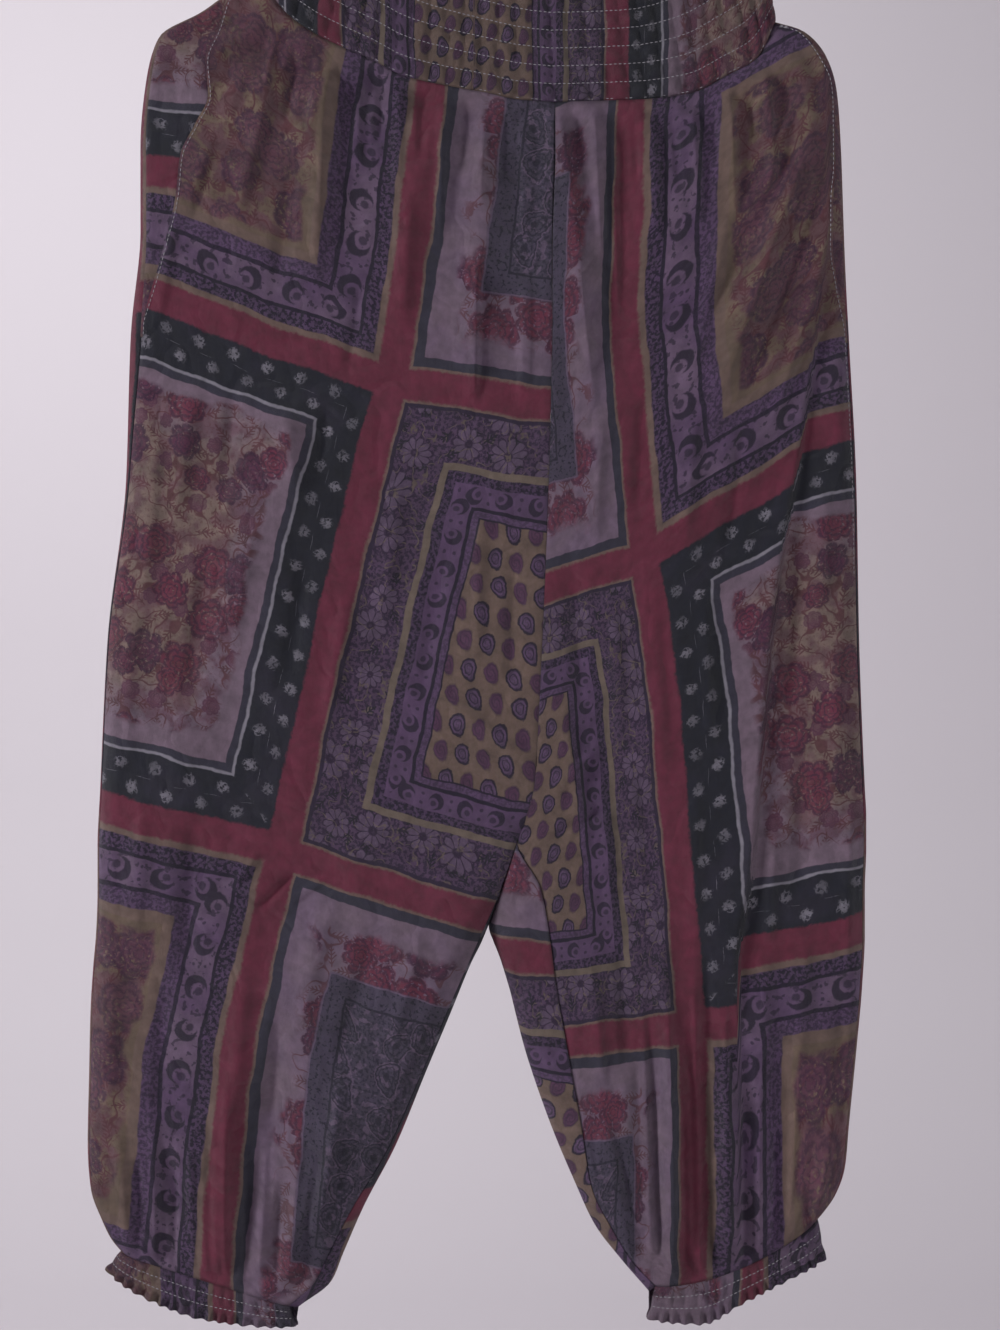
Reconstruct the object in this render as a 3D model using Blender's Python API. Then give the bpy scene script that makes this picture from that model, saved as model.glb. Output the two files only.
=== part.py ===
# Boho trousers, hanging from the two upper corners of a shirred waistband.
# Left and right are as seen from the front, which faces -Y. The origin is midway between the held corners.
import math

import bmesh
import bpy
import numpy as np
from mathutils import Vector

MM = 0.001
WALL = 1.3 * MM
SEAM_GAP = 0.3 * MM

# Leg sections from the waist seam down to the cuff seam, in millimetres.
# The outer edge is the fold at the side. The front's inner edge is the centre front seam, then the inseam.
# The back's inner edge is the centre back seam, then the inner fold of the leg.
LEG_COLUMNS = (
    "outer_x", "outer_z", "front_x", "front_z", "back_x", "back_z",
    "side_seam", "sag", "depth_front", "depth_back",
)
LEFT_LEG = (
    (-177, -76, 30, -173, 30, -173, 4, 0, 19, 17),
    (-215, -106, 30, -191, 30, -198, 5, 0, 22, 20),
    (-246, -125, 30, -212, 30, -226, 6, 0, 25, 23),
    (-255, -156, 29, -239, 30, -261, 8, 0, 28, 26),
    (-259, -202, 28, -275, 29, -307, 8, 0, 29, 27),
    (-259, -261, 28, -321, 28, -359, 8, 0, 30, 28),
    (-266, -335, 27, -377, 28, -422, 11, 0, 30, 28),
    (-269, -433, 25, -447, 26, -503, 5, 0, 30, 28),
    (-282, -545, 21, -545, 22, -594, 3, 0, 29, 27),
    (-287, -645, 15, -648, 14, -692, 3, 0, 28, 27),
    (-289, -688, 3.5, -685, -3, -722, 3, 0, 28, 27),
    (-289, -720, -7.4, -718, -16, -744, 3, 0, 28, 27),
    (-290, -748, -19.5, -746, -21, -756, 3, 0, 28, 27),
    (-292, -772, -30, -770, -28, -770, 3, 0, 28, 27),
    (-294, -804, -45, -804, -42, -804, 3, 0, 27, 26),
    (-295, -846, -63, -847, -60, -847, 3, 0, 26, 25),
    (-296, -895, -86, -898, -81, -898, 3, 0, 25, 24),
    (-294, -926, -111, -940, -103, -940, 3, 0, 23, 22),
    (-287, -947, -127, -971, -117, -972, 3, 0, 20, 19),
    (-280, -962, -137, -991, -126, -993, 3, 0, 16, 15),
    (-273, -972, -155, -1009, -149, -1011, 3, 0, 10, 9),
)
RIGHT_LEG = (
    (184, -113, 30, -173, 30, -173, 3, 0, 19, 17),
    (202, -119, 30, -191, 30, -198, 3, 0, 22, 20),
    (219, -137, 30, -212, 30, -226, 3, 0, 25, 23),
    (227, -163, 29, -239, 30, -261, 3, 0, 28, 26),
    (230, -205, 28, -275, 29, -307, 3, 0, 29, 27),
    (232, -261, 28, -321, 28, -359, 3, 0, 30, 28),
    (236, -338, 27, -377, 28, -422, 3, 0, 30, 28),
    (241, -436, 25, -447, 26, -503, 3, 0, 30, 28),
    (243, -545, 21, -545, 22, -594, 3, 0, 29, 27),
    (247, -648, 15, -648, 14, -692, 3, 0, 28, 27),
    (248, -668, 9.3, -666.5, -3, -722, 3, 0, 28, 27),
    (248, -690, 3.5, -685, -16, -744, 3, 0, 28, 27),
    (247, -720, 20, -716, -13, -755, 3, 0, 28, 27),
    (247, -750, 26, -748, -9, -765, 3, 0, 28, 27),
    (245, -787, 31, -785, -2, -787, 3, 0, 27, 26),
    (241, -830, 39, -830, 9, -830, 3, 0, 26, 25),
    (236, -880, 48, -880, 26, -880, 3, 0, 25, 24),
    (233, -912, 55, -923, 44, -923, 3, 2, 23, 22),
    (227, -930, 69, -952, 58, -953, 3, 5, 20, 19),
    (220, -941, 84, -977, 77, -978, 3, 8, 16, 15),
    (214, -949, 100, -995, 96, -1000, 3, 11, 10, 9),
)
# Rows of the panels' grids, as places in the tables: halves fall between two sections.
ROWS = (0, 0.5, 1, 2, 3, 4, 5, 6, 6.5, 7, 7.5, 8, 8.5, 9, 10, 11, 12, 13, 14, 15, 16, 17, 18, 19, 20)
SAG_ROWS = 6
SAG_FADE = 1.3

# The waist seam from the centre to each end, which sags in a U, and the top edge of the waistband.
SEAM_LEFT = (
    (30, -173), (3, -171), (-15, -167), (-43, -162), (-74, -155), (-98, -143),
    (-117, -135), (-137, -125), (-156, -111), (-168, -95), (-177, -76),
)
SEAM_RIGHT = ((30, -173), (62, -172), (90, -171), (123, -167), (148, -155), (170, -142), (184, -113))
TOP_EDGE = ((-172, 19), (-113, -23), (-64, -53), (-15, -70), (30, -78), (76, -76), (118, -60), (172, -19))

# Where the centre seams turn under the crotch.
CROTCH_TURN_FRONT = -640 * MM
CROTCH_TURN_BACK = -590 * MM
CROTCH_LOW = -744 * MM
RISE = ((15, -648), (9.3, -666.5), (3.5, -685), (-16, -744))
EDGE_ROUND = 17 * MM
INNER_ROUND = 20 * MM

# Folds as soft ridges: start, end, half width and height outward, all in millimetres.
FOLD_COLUMNS = ("x0", "z0", "x1", "z1", "width", "height")
FOLDS = {
    "left_front": (
        (-127, -140, -134, -290, 15, 6),
        (-65, -170, -75, -320, 14, 5),
        (-22, -190, -26, -380, 11, 5),
        (-150, -380, -180, -520, 26, 5),
        (-60, -430, -110, -640, 28, -4),
        (-225, -560, -240, -760, 24, 4),
        (-120, -690, -175, -760, 20, -4),
        (-205, -860, -206, -995, 10, 6),
        (-160, -830, -188, -985, 11, -5),
        (-235, -900, -238, -985, 11, -4),
        (-110, -850, -150, -975, 14, 5),
    ),
    "right_front": (
        (35, -190, 55, -370, 11, 5),
        (75, -185, 70, -330, 13, -4),
        (203, -200, 144, -380, 15, 6),
        (222, -300, 165, -470, 15, -5),
        (120, -440, 105, -640, 22, 5),
        (60, -560, 75, -780, 20, -4),
        (91, -800, 96, -990, 9, -5),
        (109, -810, 113, -985, 9, 6),
        (128, -830, 132, -985, 9, -5),
        (148, -840, 150, -975, 10, 6),
        (190, -820, 190, -960, 14, -4),
    ),
    "left_back": (
        (-130, -150, -120, -330, 16, 6),
        (-50, -180, -62, -400, 18, -4),
        (-185, -330, -150, -560, 26, 5),
        (-90, -470, -110, -690, 26, -4),
        (-215, -640, -190, -800, 24, 5),
        (-190, -860, -200, -990, 11, 6),
        (-140, -850, -170, -990, 12, -5),
        (-240, -880, -240, -975, 12, -4),
    ),
    "right_back": (
        (70, -185, 90, -400, 16, 6),
        (150, -190, 140, -360, 16, -4),
        (190, -320, 150, -560, 26, 5),
        (80, -500, 90, -700, 26, -4),
        (200, -650, 170, -800, 24, 5),
        (120, -850, 122, -990, 10, 6),
        (160, -850, 158, -980, 11, -5),
        (200, -860, 195, -960, 12, 5),
    ),
}
# The right front folds over itself from the pocket down: the cloth outside this line lies lower.
RIGHT_DROP_LINE = (
    (217, -272), (209, -342), (198, -422), (187, -484), (180, -538),
    (174, -610), (166, -701), (156, -769), (157, -819),
)
DROP_DEPTH = 7 * MM
DROP_WIDTH = 7 * MM
DROP_TOP = -250 * MM
DROP_TOP_FADE = 60 * MM
DROP_LOW = -860 * MM
DROP_LOW_FADE = 120 * MM

# Gathers under the waistband and above the cuffs.
WAIST_WAVES = 7
WAIST_WAVE_HEIGHT = 3.6 * MM
WAIST_WAVE_RISE = 16 * MM
WAIST_WAVE_FALL = 60 * MM
CUFF_WAVES = 6
CUFF_WAVE_HEIGHT = 3.0 * MM
CUFF_WAVE_RISE = 14 * MM
CUFF_WAVE_FALL = 45 * MM
WAVE_SHIFT = {"front": 0.25, "back": 0.6}

# Small steps along a row, down the rows and along the strip below the crotch, for outward directions.
NORMAL_STEP = 0.004
NORMAL_ROW_STEP = 0.04
HOOK_NORMAL_STEP = 0.02

# Steps in from the edges, in millimetres, where a panel's grid is denser.
FRONT_INNER_STEPS = (0, 3, 8, 15)
FRONT_OUTER_STEPS = (0, 3, 8, 15, 25)
FRONT_COLUMNS = 21
BACK_OUTER_STEPS = (0, 1.2, 5.2, 11.6, 19.5)
BACK_INNER_STEPS = (0, 1.2, 4.5, 10, 18)
BACK_COLUMNS = 19
BACK_STRIP = (1.0, 0.5, 0.15)
CROTCH_ROW = 11
CUFF_ROW = 20
HOOK_STEPS = {"left": (0, 0.3, 1), "right": (0, 0.132, 0.44, 0.72, 1)}

# Waistband: rows of shirring, each pulled in, with the cloth puffed between them.
BAND_CELLS = 7
BAND_WAVES_LEFT = 19
BAND_WAVES_RIGHT = 14
BAND_HEIGHT = 102 * MM
BAND_FRILL = 8 * MM
BAND_PUFF = (2.1 * MM, 0.7 * MM)
BAND_ROW = (0.7 * MM, 0.0)
BAND_RUFFLE = 1.6 * MM
BAND_TOP_DEPTH = 15 * MM
BAND_TOP_ROUND = 45 * MM
BAND_COARSE_COLUMNS = 3
BAND_COARSE_ROWS = 5

# Cuffs: lower edges, with the same order as the leg's width, and their frills.
CUFF_EDGE = {
    "left": ((-151, -1024), (-183, -1022), (-218, -1017), (-246, -1007), (-264, -998), (-283, -985)),
    "right": ((96, -1019), (132, -1021), (160, -1007), (195, -989), (219, -977)),
}
CUFF_WAVES_SIDE = 16
CUFF_EDGE_DEPTH = 9 * MM
CUFF_RUFFLE = 1.7 * MM
CUFF_PUFF = 0.8 * MM
CUFF_LEVELS = (0, 0.3, 0.6, 0.8, 1.0)

# Pocket mouths, from the waist seam to the side seam.
POCKET_MOUTH = {
    "left": (
        (-183, -80), (-196, -100), (-203, -123), (-211, -146), (-209, -170),
        (-218, -191), (-228, -212), (-231, -240), (-243, -289), (-256, -330),
    ),
    "right": (
        (190, -113), (203, -125), (214, -141), (222, -160), (223, -177),
        (223, -218), (221, -243), (221, -272), (226, -300), (233, -330),
    ),
}
POCKET_LAP = 6 * MM
POCKET_STEPS = 4
POCKET_LEVELS = (0.5, 1, 2, 3, 4, 5, 6)
POCKET_DROP = WALL + 1.1 * MM

COLOURS = {
    "left_front": (0.22, 0.12, 0.16),
    "right_front": (0.23, 0.13, 0.17),
    "left_back": (0.21, 0.13, 0.17),
    "right_back": (0.22, 0.14, 0.17),
    "waistband": (0.20, 0.15, 0.19),
    "left_pocket_facing": (0.10, 0.09, 0.12),
    "right_pocket_facing": (0.19, 0.10, 0.13),
    "left_cuff": (0.17, 0.12, 0.16),
    "right_cuff": (0.30, 0.25, 0.31),
}
CLOTH_ROUGHNESS = 0.9


def clear_scene():
    for thing in list(bpy.data.objects):
        bpy.data.objects.remove(thing, do_unlink=True)


def smooth(t):
    t = min(max(t, 0.0), 1.0)
    return t * t * (3 - 2 * t)


def rounded(t):
    # A quarter circle from 0 at the fold to 1 where the cloth is flat.
    t = min(max(t, 0.0), 1.0)
    return math.sqrt(1 - (1 - t) ** 2)


def slopes(points, steps):
    # Slopes of a smooth curve that never swings past its own points.
    rises = np.diff(points, axis=0) / steps[:, None]
    inner = np.where(
        rises[:-1] * rises[1:] > 0,
        2 * rises[:-1] * rises[1:] / (rises[:-1] + rises[1:] + 1e-12),
        0,
    )
    return np.vstack([rises[:1], inner, rises[-1:]])


class Curve:
    """Rows of numbers read smoothly at any place along a rising parameter."""

    def __init__(self, rows, places=None):
        self.rows = np.array(rows, dtype=float)
        self.places = np.arange(len(rows), dtype=float) if places is None else np.array(places)
        self.steps = np.diff(self.places)
        self.slopes = slopes(self.rows, self.steps)

    def at(self, place):
        place = min(max(place, self.places[0]), self.places[-1])
        k = min(int(np.searchsorted(self.places, place, side="right")) - 1, len(self.steps) - 1)
        h = self.steps[k]
        t = (place - self.places[k]) / h
        a, b = self.rows[k], self.rows[k + 1]
        ma, mb = self.slopes[k] * h, self.slopes[k + 1] * h
        return (
            a * (1 + 2 * t) * (1 - t) ** 2
            + ma * t * (1 - t) ** 2
            + b * t * t * (3 - 2 * t)
            + mb * t * t * (t - 1)
        )


def along(points):
    # A curve through points, read by the fraction of its length.
    points = np.array(points, dtype=float) * MM
    lengths = np.concatenate([[0], np.cumsum(np.linalg.norm(np.diff(points, axis=0), axis=1))])
    return Curve(points, lengths / lengths[-1])


def by_height(points):
    # x as a smooth function of z, for points in any order.
    ordered = sorted((z * MM, x * MM) for x, z in points)
    return Curve([[x] for z, x in ordered], [z for z, x in ordered])


def seam_turn(z, start):
    # How far the centre seam still is from the crotch's lowest point: 1 above the turn, 0 below the crotch.
    if z >= start:
        return 1.0
    if z <= CROTCH_LOW:
        return 0.0
    return math.sqrt(1 - ((start - z) / (start - CROTCH_LOW)) ** 2)


def fold_relief(folds, x, z):
    total = 0.0
    for row in folds:
        fold = dict(zip(FOLD_COLUMNS, (value * MM for value in row)))
        dx, dz = fold["x1"] - fold["x0"], fold["z1"] - fold["z0"]
        length = math.hypot(dx, dz)
        t = ((x - fold["x0"]) * dx + (z - fold["z0"]) * dz) / length**2
        across = abs((x - fold["x0"]) * dz - (z - fold["z0"]) * dx) / length
        ends = smooth((t + 0.15) / 0.4) * smooth((1.15 - t) / 0.4)
        total += fold["height"] * ends * math.exp(-((across / fold["width"]) ** 2))
    return total


FRONT_AND_DOWN = Vector((0, -1, -0.3))
BACK_AND_DOWN = Vector((0, 1, -0.3))
RISE_X = by_height(RISE)
DROP_X = by_height(RIGHT_DROP_LINE)


class Leg:
    """One leg from the waist seam to the cuff seam, front and back."""

    def __init__(self, side, rows, seam):
        self.side = side
        self.sign = -1 if side == "left" else 1
        self.table = Curve(rows)
        self.seam = along(seam)
        self.inner_x = by_height([(row[4], row[5]) for row in rows[CROTCH_ROW:]])

    def section(self, v):
        return dict(zip(LEG_COLUMNS, self.table.at(v) * MM))

    def row_end(self, layer, row):
        if layer == "front":
            return np.array([row["front_x"], row["front_z"]])
        return np.array([row["back_x"], row["back_z"]])

    def flat_point(self, layer, a, v):
        # Place in the plane of the front view: a runs from the inner edge, 0, to the outer fold, 1.
        row = self.section(v)
        inner = self.row_end(layer, row)
        outer = np.array([row["outer_x"], row["outer_z"]])
        place = inner + (outer - inner) * a
        place[1] -= row["sag"] * 4 * a * (1 - a)
        if v < SAG_ROWS:
            top = self.section(0)
            top_inner = np.array([top["front_x"], top["front_z"]])
            top_outer = np.array([top["outer_x"], top["outer_z"]])
            bend = self.seam.at(a) - (top_inner + (top_outer - top_inner) * a)
            place = place + bend * (1 - v / SAG_ROWS) ** SAG_FADE
        return place

    def length(self, layer, v):
        row = self.section(v)
        outer = np.array([row["outer_x"], row["outer_z"]])
        return float(np.linalg.norm(outer - self.row_end(layer, row)))

    def inner_share(self, layer, x, z):
        # Share of the full depth near the inner edge, where the leg or the crotch closes.
        turn = seam_turn(z, CROTCH_TURN_FRONT if layer == "front" else CROTCH_TURN_BACK)
        if turn >= 1:
            return 1.0
        edge = RISE_X if z > CROTCH_LOW else self.inner_x
        step = 1 * MM
        slant = (edge.at(z + step)[0] - edge.at(z - step)[0]) / (2 * step)
        gap = abs(x - edge.at(z)[0]) / math.hypot(1, slant)
        if (x - edge.at(z)[0]) * self.sign < 0:
            gap = 0.0
        return turn + (1 - turn) * rounded(gap / INNER_ROUND)

    def waves(self, layer, a, v, z):
        below = self.flat_point(layer, a, 0)[1] - z
        above = z - self.flat_point(layer, a, CUFF_ROW)[1]
        shift = WAVE_SHIFT[layer]
        waist = math.sin(2 * math.pi * (WAIST_WAVES * a + shift))
        waist *= WAIST_WAVE_HEIGHT * smooth(below / WAIST_WAVE_RISE) * math.exp(-below / WAIST_WAVE_FALL)
        cuff = math.sin(2 * math.pi * (CUFF_WAVES * a + shift))
        cuff *= CUFF_WAVE_HEIGHT * smooth(above / CUFF_WAVE_RISE) * math.exp(-above / CUFF_WAVE_FALL)
        return waist + cuff

    def depth(self, layer, a, v, x, z):
        row = self.section(v)
        full = row["depth_front"] if layer == "front" else row["depth_back"]
        gap = (1 - a) * self.length(layer, v)
        share = rounded(gap / EDGE_ROUND) * self.inner_share(layer, x, z)
        near_seam = smooth(v) * smooth(CUFF_ROW - v)
        relief = fold_relief(FOLDS[self.side + "_" + layer], x, z) * near_seam
        relief += self.waves(layer, a, v, z)
        if self.side == "right" and layer == "front":
            past = x - DROP_X.at(z)[0]
            ends = smooth((DROP_TOP - z) / DROP_TOP_FADE) * smooth((z - DROP_LOW) / DROP_LOW_FADE)
            relief -= DROP_DEPTH * smooth(past / DROP_WIDTH + 0.5) * ends
        outward = full * share + relief * share
        return -outward if layer == "front" else outward

    def point(self, layer, a, v):
        x, z = self.flat_point(layer, a, v)
        return Vector((x, self.depth(layer, a, v, x, z), z))

    def hook_point(self, h, v):
        # The back's strip that comes forward: h runs from the inner fold, 0, to the inseam, 1.
        row = self.section(v)
        fold = self.row_end("back", row)
        inseam = self.row_end("front", row)
        x, z = fold + (inseam - fold) * h
        return Vector((x, self.depth("front", 0.0, v, x, z), z))

    def normal(self, layer, a, v, hook=None):
        # Outward direction from the surface's own slopes.
        a0, a1 = max(a - NORMAL_STEP, 0), min(a + NORMAL_STEP, 1)
        v0, v1 = max(v - NORMAL_ROW_STEP, 0), min(v + NORMAL_ROW_STEP, CUFF_ROW)
        if hook is None:
            across = self.point(layer, a1, v) - self.point(layer, a0, v)
            down = self.point(layer, a, v1) - self.point(layer, a, v0)
        else:
            h0, h1 = max(hook - HOOK_NORMAL_STEP, 0), min(hook + HOOK_NORMAL_STEP, 1)
            v0 = max(v0, CROTCH_ROW)
            across = self.hook_point(h1, v) - self.hook_point(h0, v)
            down = self.hook_point(hook, v1) - self.hook_point(hook, v0)
        found = across.cross(down).normalized() * self.sign
        return found if layer == "front" or hook is not None else -found


def seam_normal(tangent, facing):
    # Outward direction that stays in the plane of a centre seam, so both halves' walls run side by side.
    found = tangent.cross(Vector((1, 0, 0))).normalized()
    return found if found.dot(facing) > 0 else -found


def spaced(length, start, end, inner_steps, outer_steps, count):
    # Places along a row: dense near both ends and even between.
    inner = [start + step * MM for step in inner_steps]
    outer = [end - step * MM for step in reversed(outer_steps)]
    middle = count - len(inner) - len(outer) + 1
    gap = (outer[0] - inner[-1]) / (middle + 1)
    places = inner + [inner[-1] + gap * (k + 1) for k in range(middle)] + outer
    return [place / length for place in places]


def new_material(name):
    material = bpy.data.materials.new(name + "_cloth")
    material.use_nodes = True
    shader = material.node_tree.nodes["Principled BSDF"]
    shader.inputs["Base Color"].default_value = (*COLOURS[name], 1)
    shader.inputs["Roughness"].default_value = CLOTH_ROUGHNESS
    shader.inputs["Metallic"].default_value = 0.0
    return material


def add_object(name, bm):
    bmesh.ops.recalc_face_normals(bm, faces=bm.faces)
    mesh = bpy.data.meshes.new(name)
    bm.to_mesh(mesh)
    bm.free()
    mesh.shade_smooth()
    mesh.set_sharp_from_angle(angle=math.radians(50))
    mesh.materials.append(new_material(name))
    thing = bpy.data.objects.new(name, mesh)
    bpy.context.scene.collection.objects.link(thing)


def cloth_panel(name, outside, inside, missing=()):
    # A wall from a grid of outer points and their inner partners; missing cells are left out.
    rows, columns = len(outside), len(outside[0])
    bm = bmesh.new()
    bmesh.ops.create_grid(bm, x_segments=columns - 1, y_segments=rows - 1, size=0.5)
    index = {}
    for vertex in bm.verts:
        i = round((vertex.co.x + 0.5) * (columns - 1))
        j = round((vertex.co.y + 0.5) * (rows - 1))
        index[vertex] = (j, i)
    unused = [vertex for vertex, place in index.items() if place in missing]
    for vertex in unused:
        del index[vertex]
    bmesh.ops.delete(bm, geom=unused, context="VERTS")
    outer_verts = list(bm.verts)
    grown = bmesh.ops.extrude_face_region(bm, geom=list(bm.faces), use_keep_orig=True)
    inner_verts = [item for item in grown["geom"] if isinstance(item, bmesh.types.BMVert)]
    by_place = {index[vertex]: vertex for vertex in outer_verts}
    place_of = {tuple(round(c, 6) for c in vertex.co): place for place, vertex in by_place.items()}
    for vertex in inner_verts:
        j, i = place_of[tuple(round(c, 6) for c in vertex.co)]
        vertex.co = inside[j][i]
    for (j, i), vertex in by_place.items():
        vertex.co = outside[j][i]
    bm.faces.sort(key=lambda face: face.calc_area(), reverse=True)
    add_object(name, bm)


def walled(grid):
    # Splits a grid of (point, outward direction) pairs into the wall's two faces.
    outside = [[point for point, normal in row] for row in grid]
    inside = [[point - normal * WALL for point, normal in row] for row in grid]
    return outside, inside


def centre_tangent(leg, layer, v):
    low, high = max(v - 0.1, 0), min(v + 0.1, CUFF_ROW)
    return leg.point(layer, 0, high) - leg.point(layer, 0, low)


def panel_normal(leg, layer, a, v):
    if v > 0:
        return leg.normal(layer, a, v)
    # At the waist seam both walls stand as the waistband does, straight up.
    across = leg.point(layer, min(a + 0.01, 1), 0) - leg.point(layer, max(a - 0.01, 0), 0)
    found = across.cross(Vector((0, 0, 1))).normalized()
    facing = Vector((leg.sign * 0.5, -1 if layer == "front" else 1, 0))
    return found if found.dot(facing) > 0 else -found


def mouth_share(leg, v):
    # Where the pocket mouth crosses a row of the front, as the row's own fraction; 1 where there is none.
    edge = by_height(POCKET_MOUTH[leg.side])
    best = 1.0
    low = min(z for x, z in POCKET_MOUTH[leg.side]) * MM
    if leg.flat_point("front", 1.0, v)[1] < low:
        return best
    for k in range(100, 40, -1):
        a = k / 100
        x, z = leg.flat_point("front", a, v)
        if (x - edge.at(z)[0]) * leg.sign <= 0:
            break
        best = a
    lower = best - 0.01
    for _ in range(20):
        middle = (best + lower) / 2
        x, z = leg.flat_point("front", middle, v)
        if (x - edge.at(z)[0]) * leg.sign > 0:
            best = middle
        else:
            lower = middle
    return best


def front_edge(leg, v):
    # The front's outer edge on a row: the side seam, or the pocket mouth where that comes first.
    row = leg.section(v)
    seam = 1 - row["side_seam"] / leg.length("front", v)
    if v < POCKET_LEVELS[-1]:
        return min(seam, mouth_share(leg, v))
    return seam


def parted(row, v):
    # Half a seam's gap at the waist seam and at the cuff seam.
    shift = {0: -SEAM_GAP / 2, CUFF_ROW: SEAM_GAP / 2}.get(v, 0)
    return [(point + Vector((0, 0, shift)), normal) for point, normal in row]


def make_front(leg):
    grid = []
    for v in ROWS:
        length = leg.length("front", v)
        end = front_edge(leg, v) * length - SEAM_GAP / 2
        shares = spaced(
            length, SEAM_GAP / 2, end, FRONT_INNER_STEPS, FRONT_OUTER_STEPS, FRONT_COLUMNS
        )
        row = []
        for k, a in enumerate(shares):
            point = leg.point("front", a, v)
            normal = panel_normal(leg, "front", a, v)
            if k == 0 and v <= CROTCH_ROW:
                normal = seam_normal(centre_tangent(leg, "front", v), FRONT_AND_DOWN)
            row.append((point, normal))
        grid.append(parted(row, v))
    cloth_panel(leg.side + "_front", *walled(grid))


def make_back(leg):
    grid, missing = [], set()
    hook_steps = HOOK_STEPS[leg.side]
    for j, v in enumerate(ROWS):
        front_length = leg.length("front", v)
        side_seam = leg.section(v)["side_seam"]
        row = []
        for share in BACK_STRIP:
            a = 1 - (side_seam * share - (SEAM_GAP / 2 if share == 1.0 else 0)) / front_length
            row.append((leg.point("front", a, v), panel_normal(leg, "front", a, v)))
        length = leg.length("back", v)
        start = 0.0 if v > CROTCH_ROW else SEAM_GAP / 2
        shares = spaced(length, start, length, BACK_INNER_STEPS, BACK_OUTER_STEPS, BACK_COLUMNS)
        for k, a in enumerate(reversed(shares)):
            normal = panel_normal(leg, "back", a, v)
            if k == len(shares) - 1 and v < CROTCH_ROW:
                normal = seam_normal(centre_tangent(leg, "back", v), BACK_AND_DOWN)
            if k == len(shares) - 1 and v == CROTCH_ROW:
                normal = Vector((0, 0, -1))
            row.append((leg.point("back", a, v), normal))
        for k, h in enumerate(hook_steps[1:]):
            if v < CROTCH_ROW:
                missing.add((j, len(row)))
                row.append(row[-1])
                continue
            reach = (leg.hook_point(1, v) - leg.hook_point(0, v)).length
            h = min(h, 1 - SEAM_GAP / 2 / reach)
            point = leg.hook_point(h, v)
            normal = leg.normal("front", 0, v, hook=h)
            if v == CROTCH_ROW:
                low, high = max(h - HOOK_NORMAL_STEP, 0), min(h + HOOK_NORMAL_STEP, 1)
                normal = seam_normal(leg.hook_point(high, v) - leg.hook_point(low, v), FRONT_AND_DOWN)
                point = point + Vector((leg.sign * SEAM_GAP / 2, 0, 0))
            row.append((point, normal))
        grid.append(parted(row, v))
    cloth_panel(leg.side + "_back", *walled(grid), missing=missing)


def make_pocket_facing(leg):
    # Lies under the front along the mouth and meets the back at the side seam.
    grid = []
    for v in POCKET_LEVELS:
        length = leg.length("front", v)
        seam = 1 - (leg.section(v)["side_seam"] + SEAM_GAP / 2) / length
        mouth = min(mouth_share(leg, v), seam) - POCKET_LAP / length
        row = []
        for k in range(POCKET_STEPS + 1):
            a = mouth + (seam - mouth) * k / POCKET_STEPS
            normal = leg.normal("front", a, v)
            row.append((leg.point("front", a, v) - normal * POCKET_DROP, normal))
        grid.append(row)
    cloth_panel(leg.side + "_pocket_facing", *walled(grid))


def stitched_wall(name, outer, inner, column_ratio, row_ratio):
    # A fine outer grid and a coarse plain inner one, closed along their edges.
    rows, columns = len(outer), len(outer[0])
    bm = bmesh.new()
    out = [[bm.verts.new(point) for point in row] for row in outer]
    ins = [[bm.verts.new(point) for point in row] for row in inner]
    for j in range(rows - 1):
        for i in range(columns - 1):
            bm.faces.new((out[j][i], out[j][i + 1], out[j + 1][i + 1], out[j + 1][i]))
    for j in range(len(ins) - 1):
        for i in range(len(ins[0]) - 1):
            bm.faces.new((ins[j][i], ins[j + 1][i], ins[j + 1][i + 1], ins[j][i + 1]))
    edges = (
        (out[0], ins[0], column_ratio),
        (out[-1][::-1], ins[-1][::-1], column_ratio),
        ([row[0] for row in out][::-1], [row[0] for row in ins][::-1], row_ratio),
        ([row[-1] for row in out], [row[-1] for row in ins], row_ratio),
    )
    for fine, coarse, ratio in edges:
        half = (ratio + 1) // 2
        for k in range(len(coarse) - 1):
            first = k * ratio
            for n in range(ratio):
                anchor = coarse[k] if n < half else coarse[k + 1]
                bm.faces.new((fine[first + n + 1], fine[first + n], anchor))
            bm.faces.new((fine[first + half], coarse[k], coarse[k + 1]))
    add_object(name, bm)


def band_columns(legs):
    # Columns of the waistband from centre back, round the left end, across the front and back again.
    left, right = legs["left"], legs["right"]
    places = []
    for leg, layer, waves, outward in (
        (left, "back", BAND_WAVES_LEFT, True),
        (left, "front", BAND_WAVES_LEFT, False),
        (right, "front", BAND_WAVES_RIGHT, True),
        (right, "back", BAND_WAVES_RIGHT, False),
    ):
        count = waves * 2
        for k in range(count):
            a = k / count
            places.append((leg, layer, a if outward else 1 - a))
    places.append((right, "back", 0.0))
    return places


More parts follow.
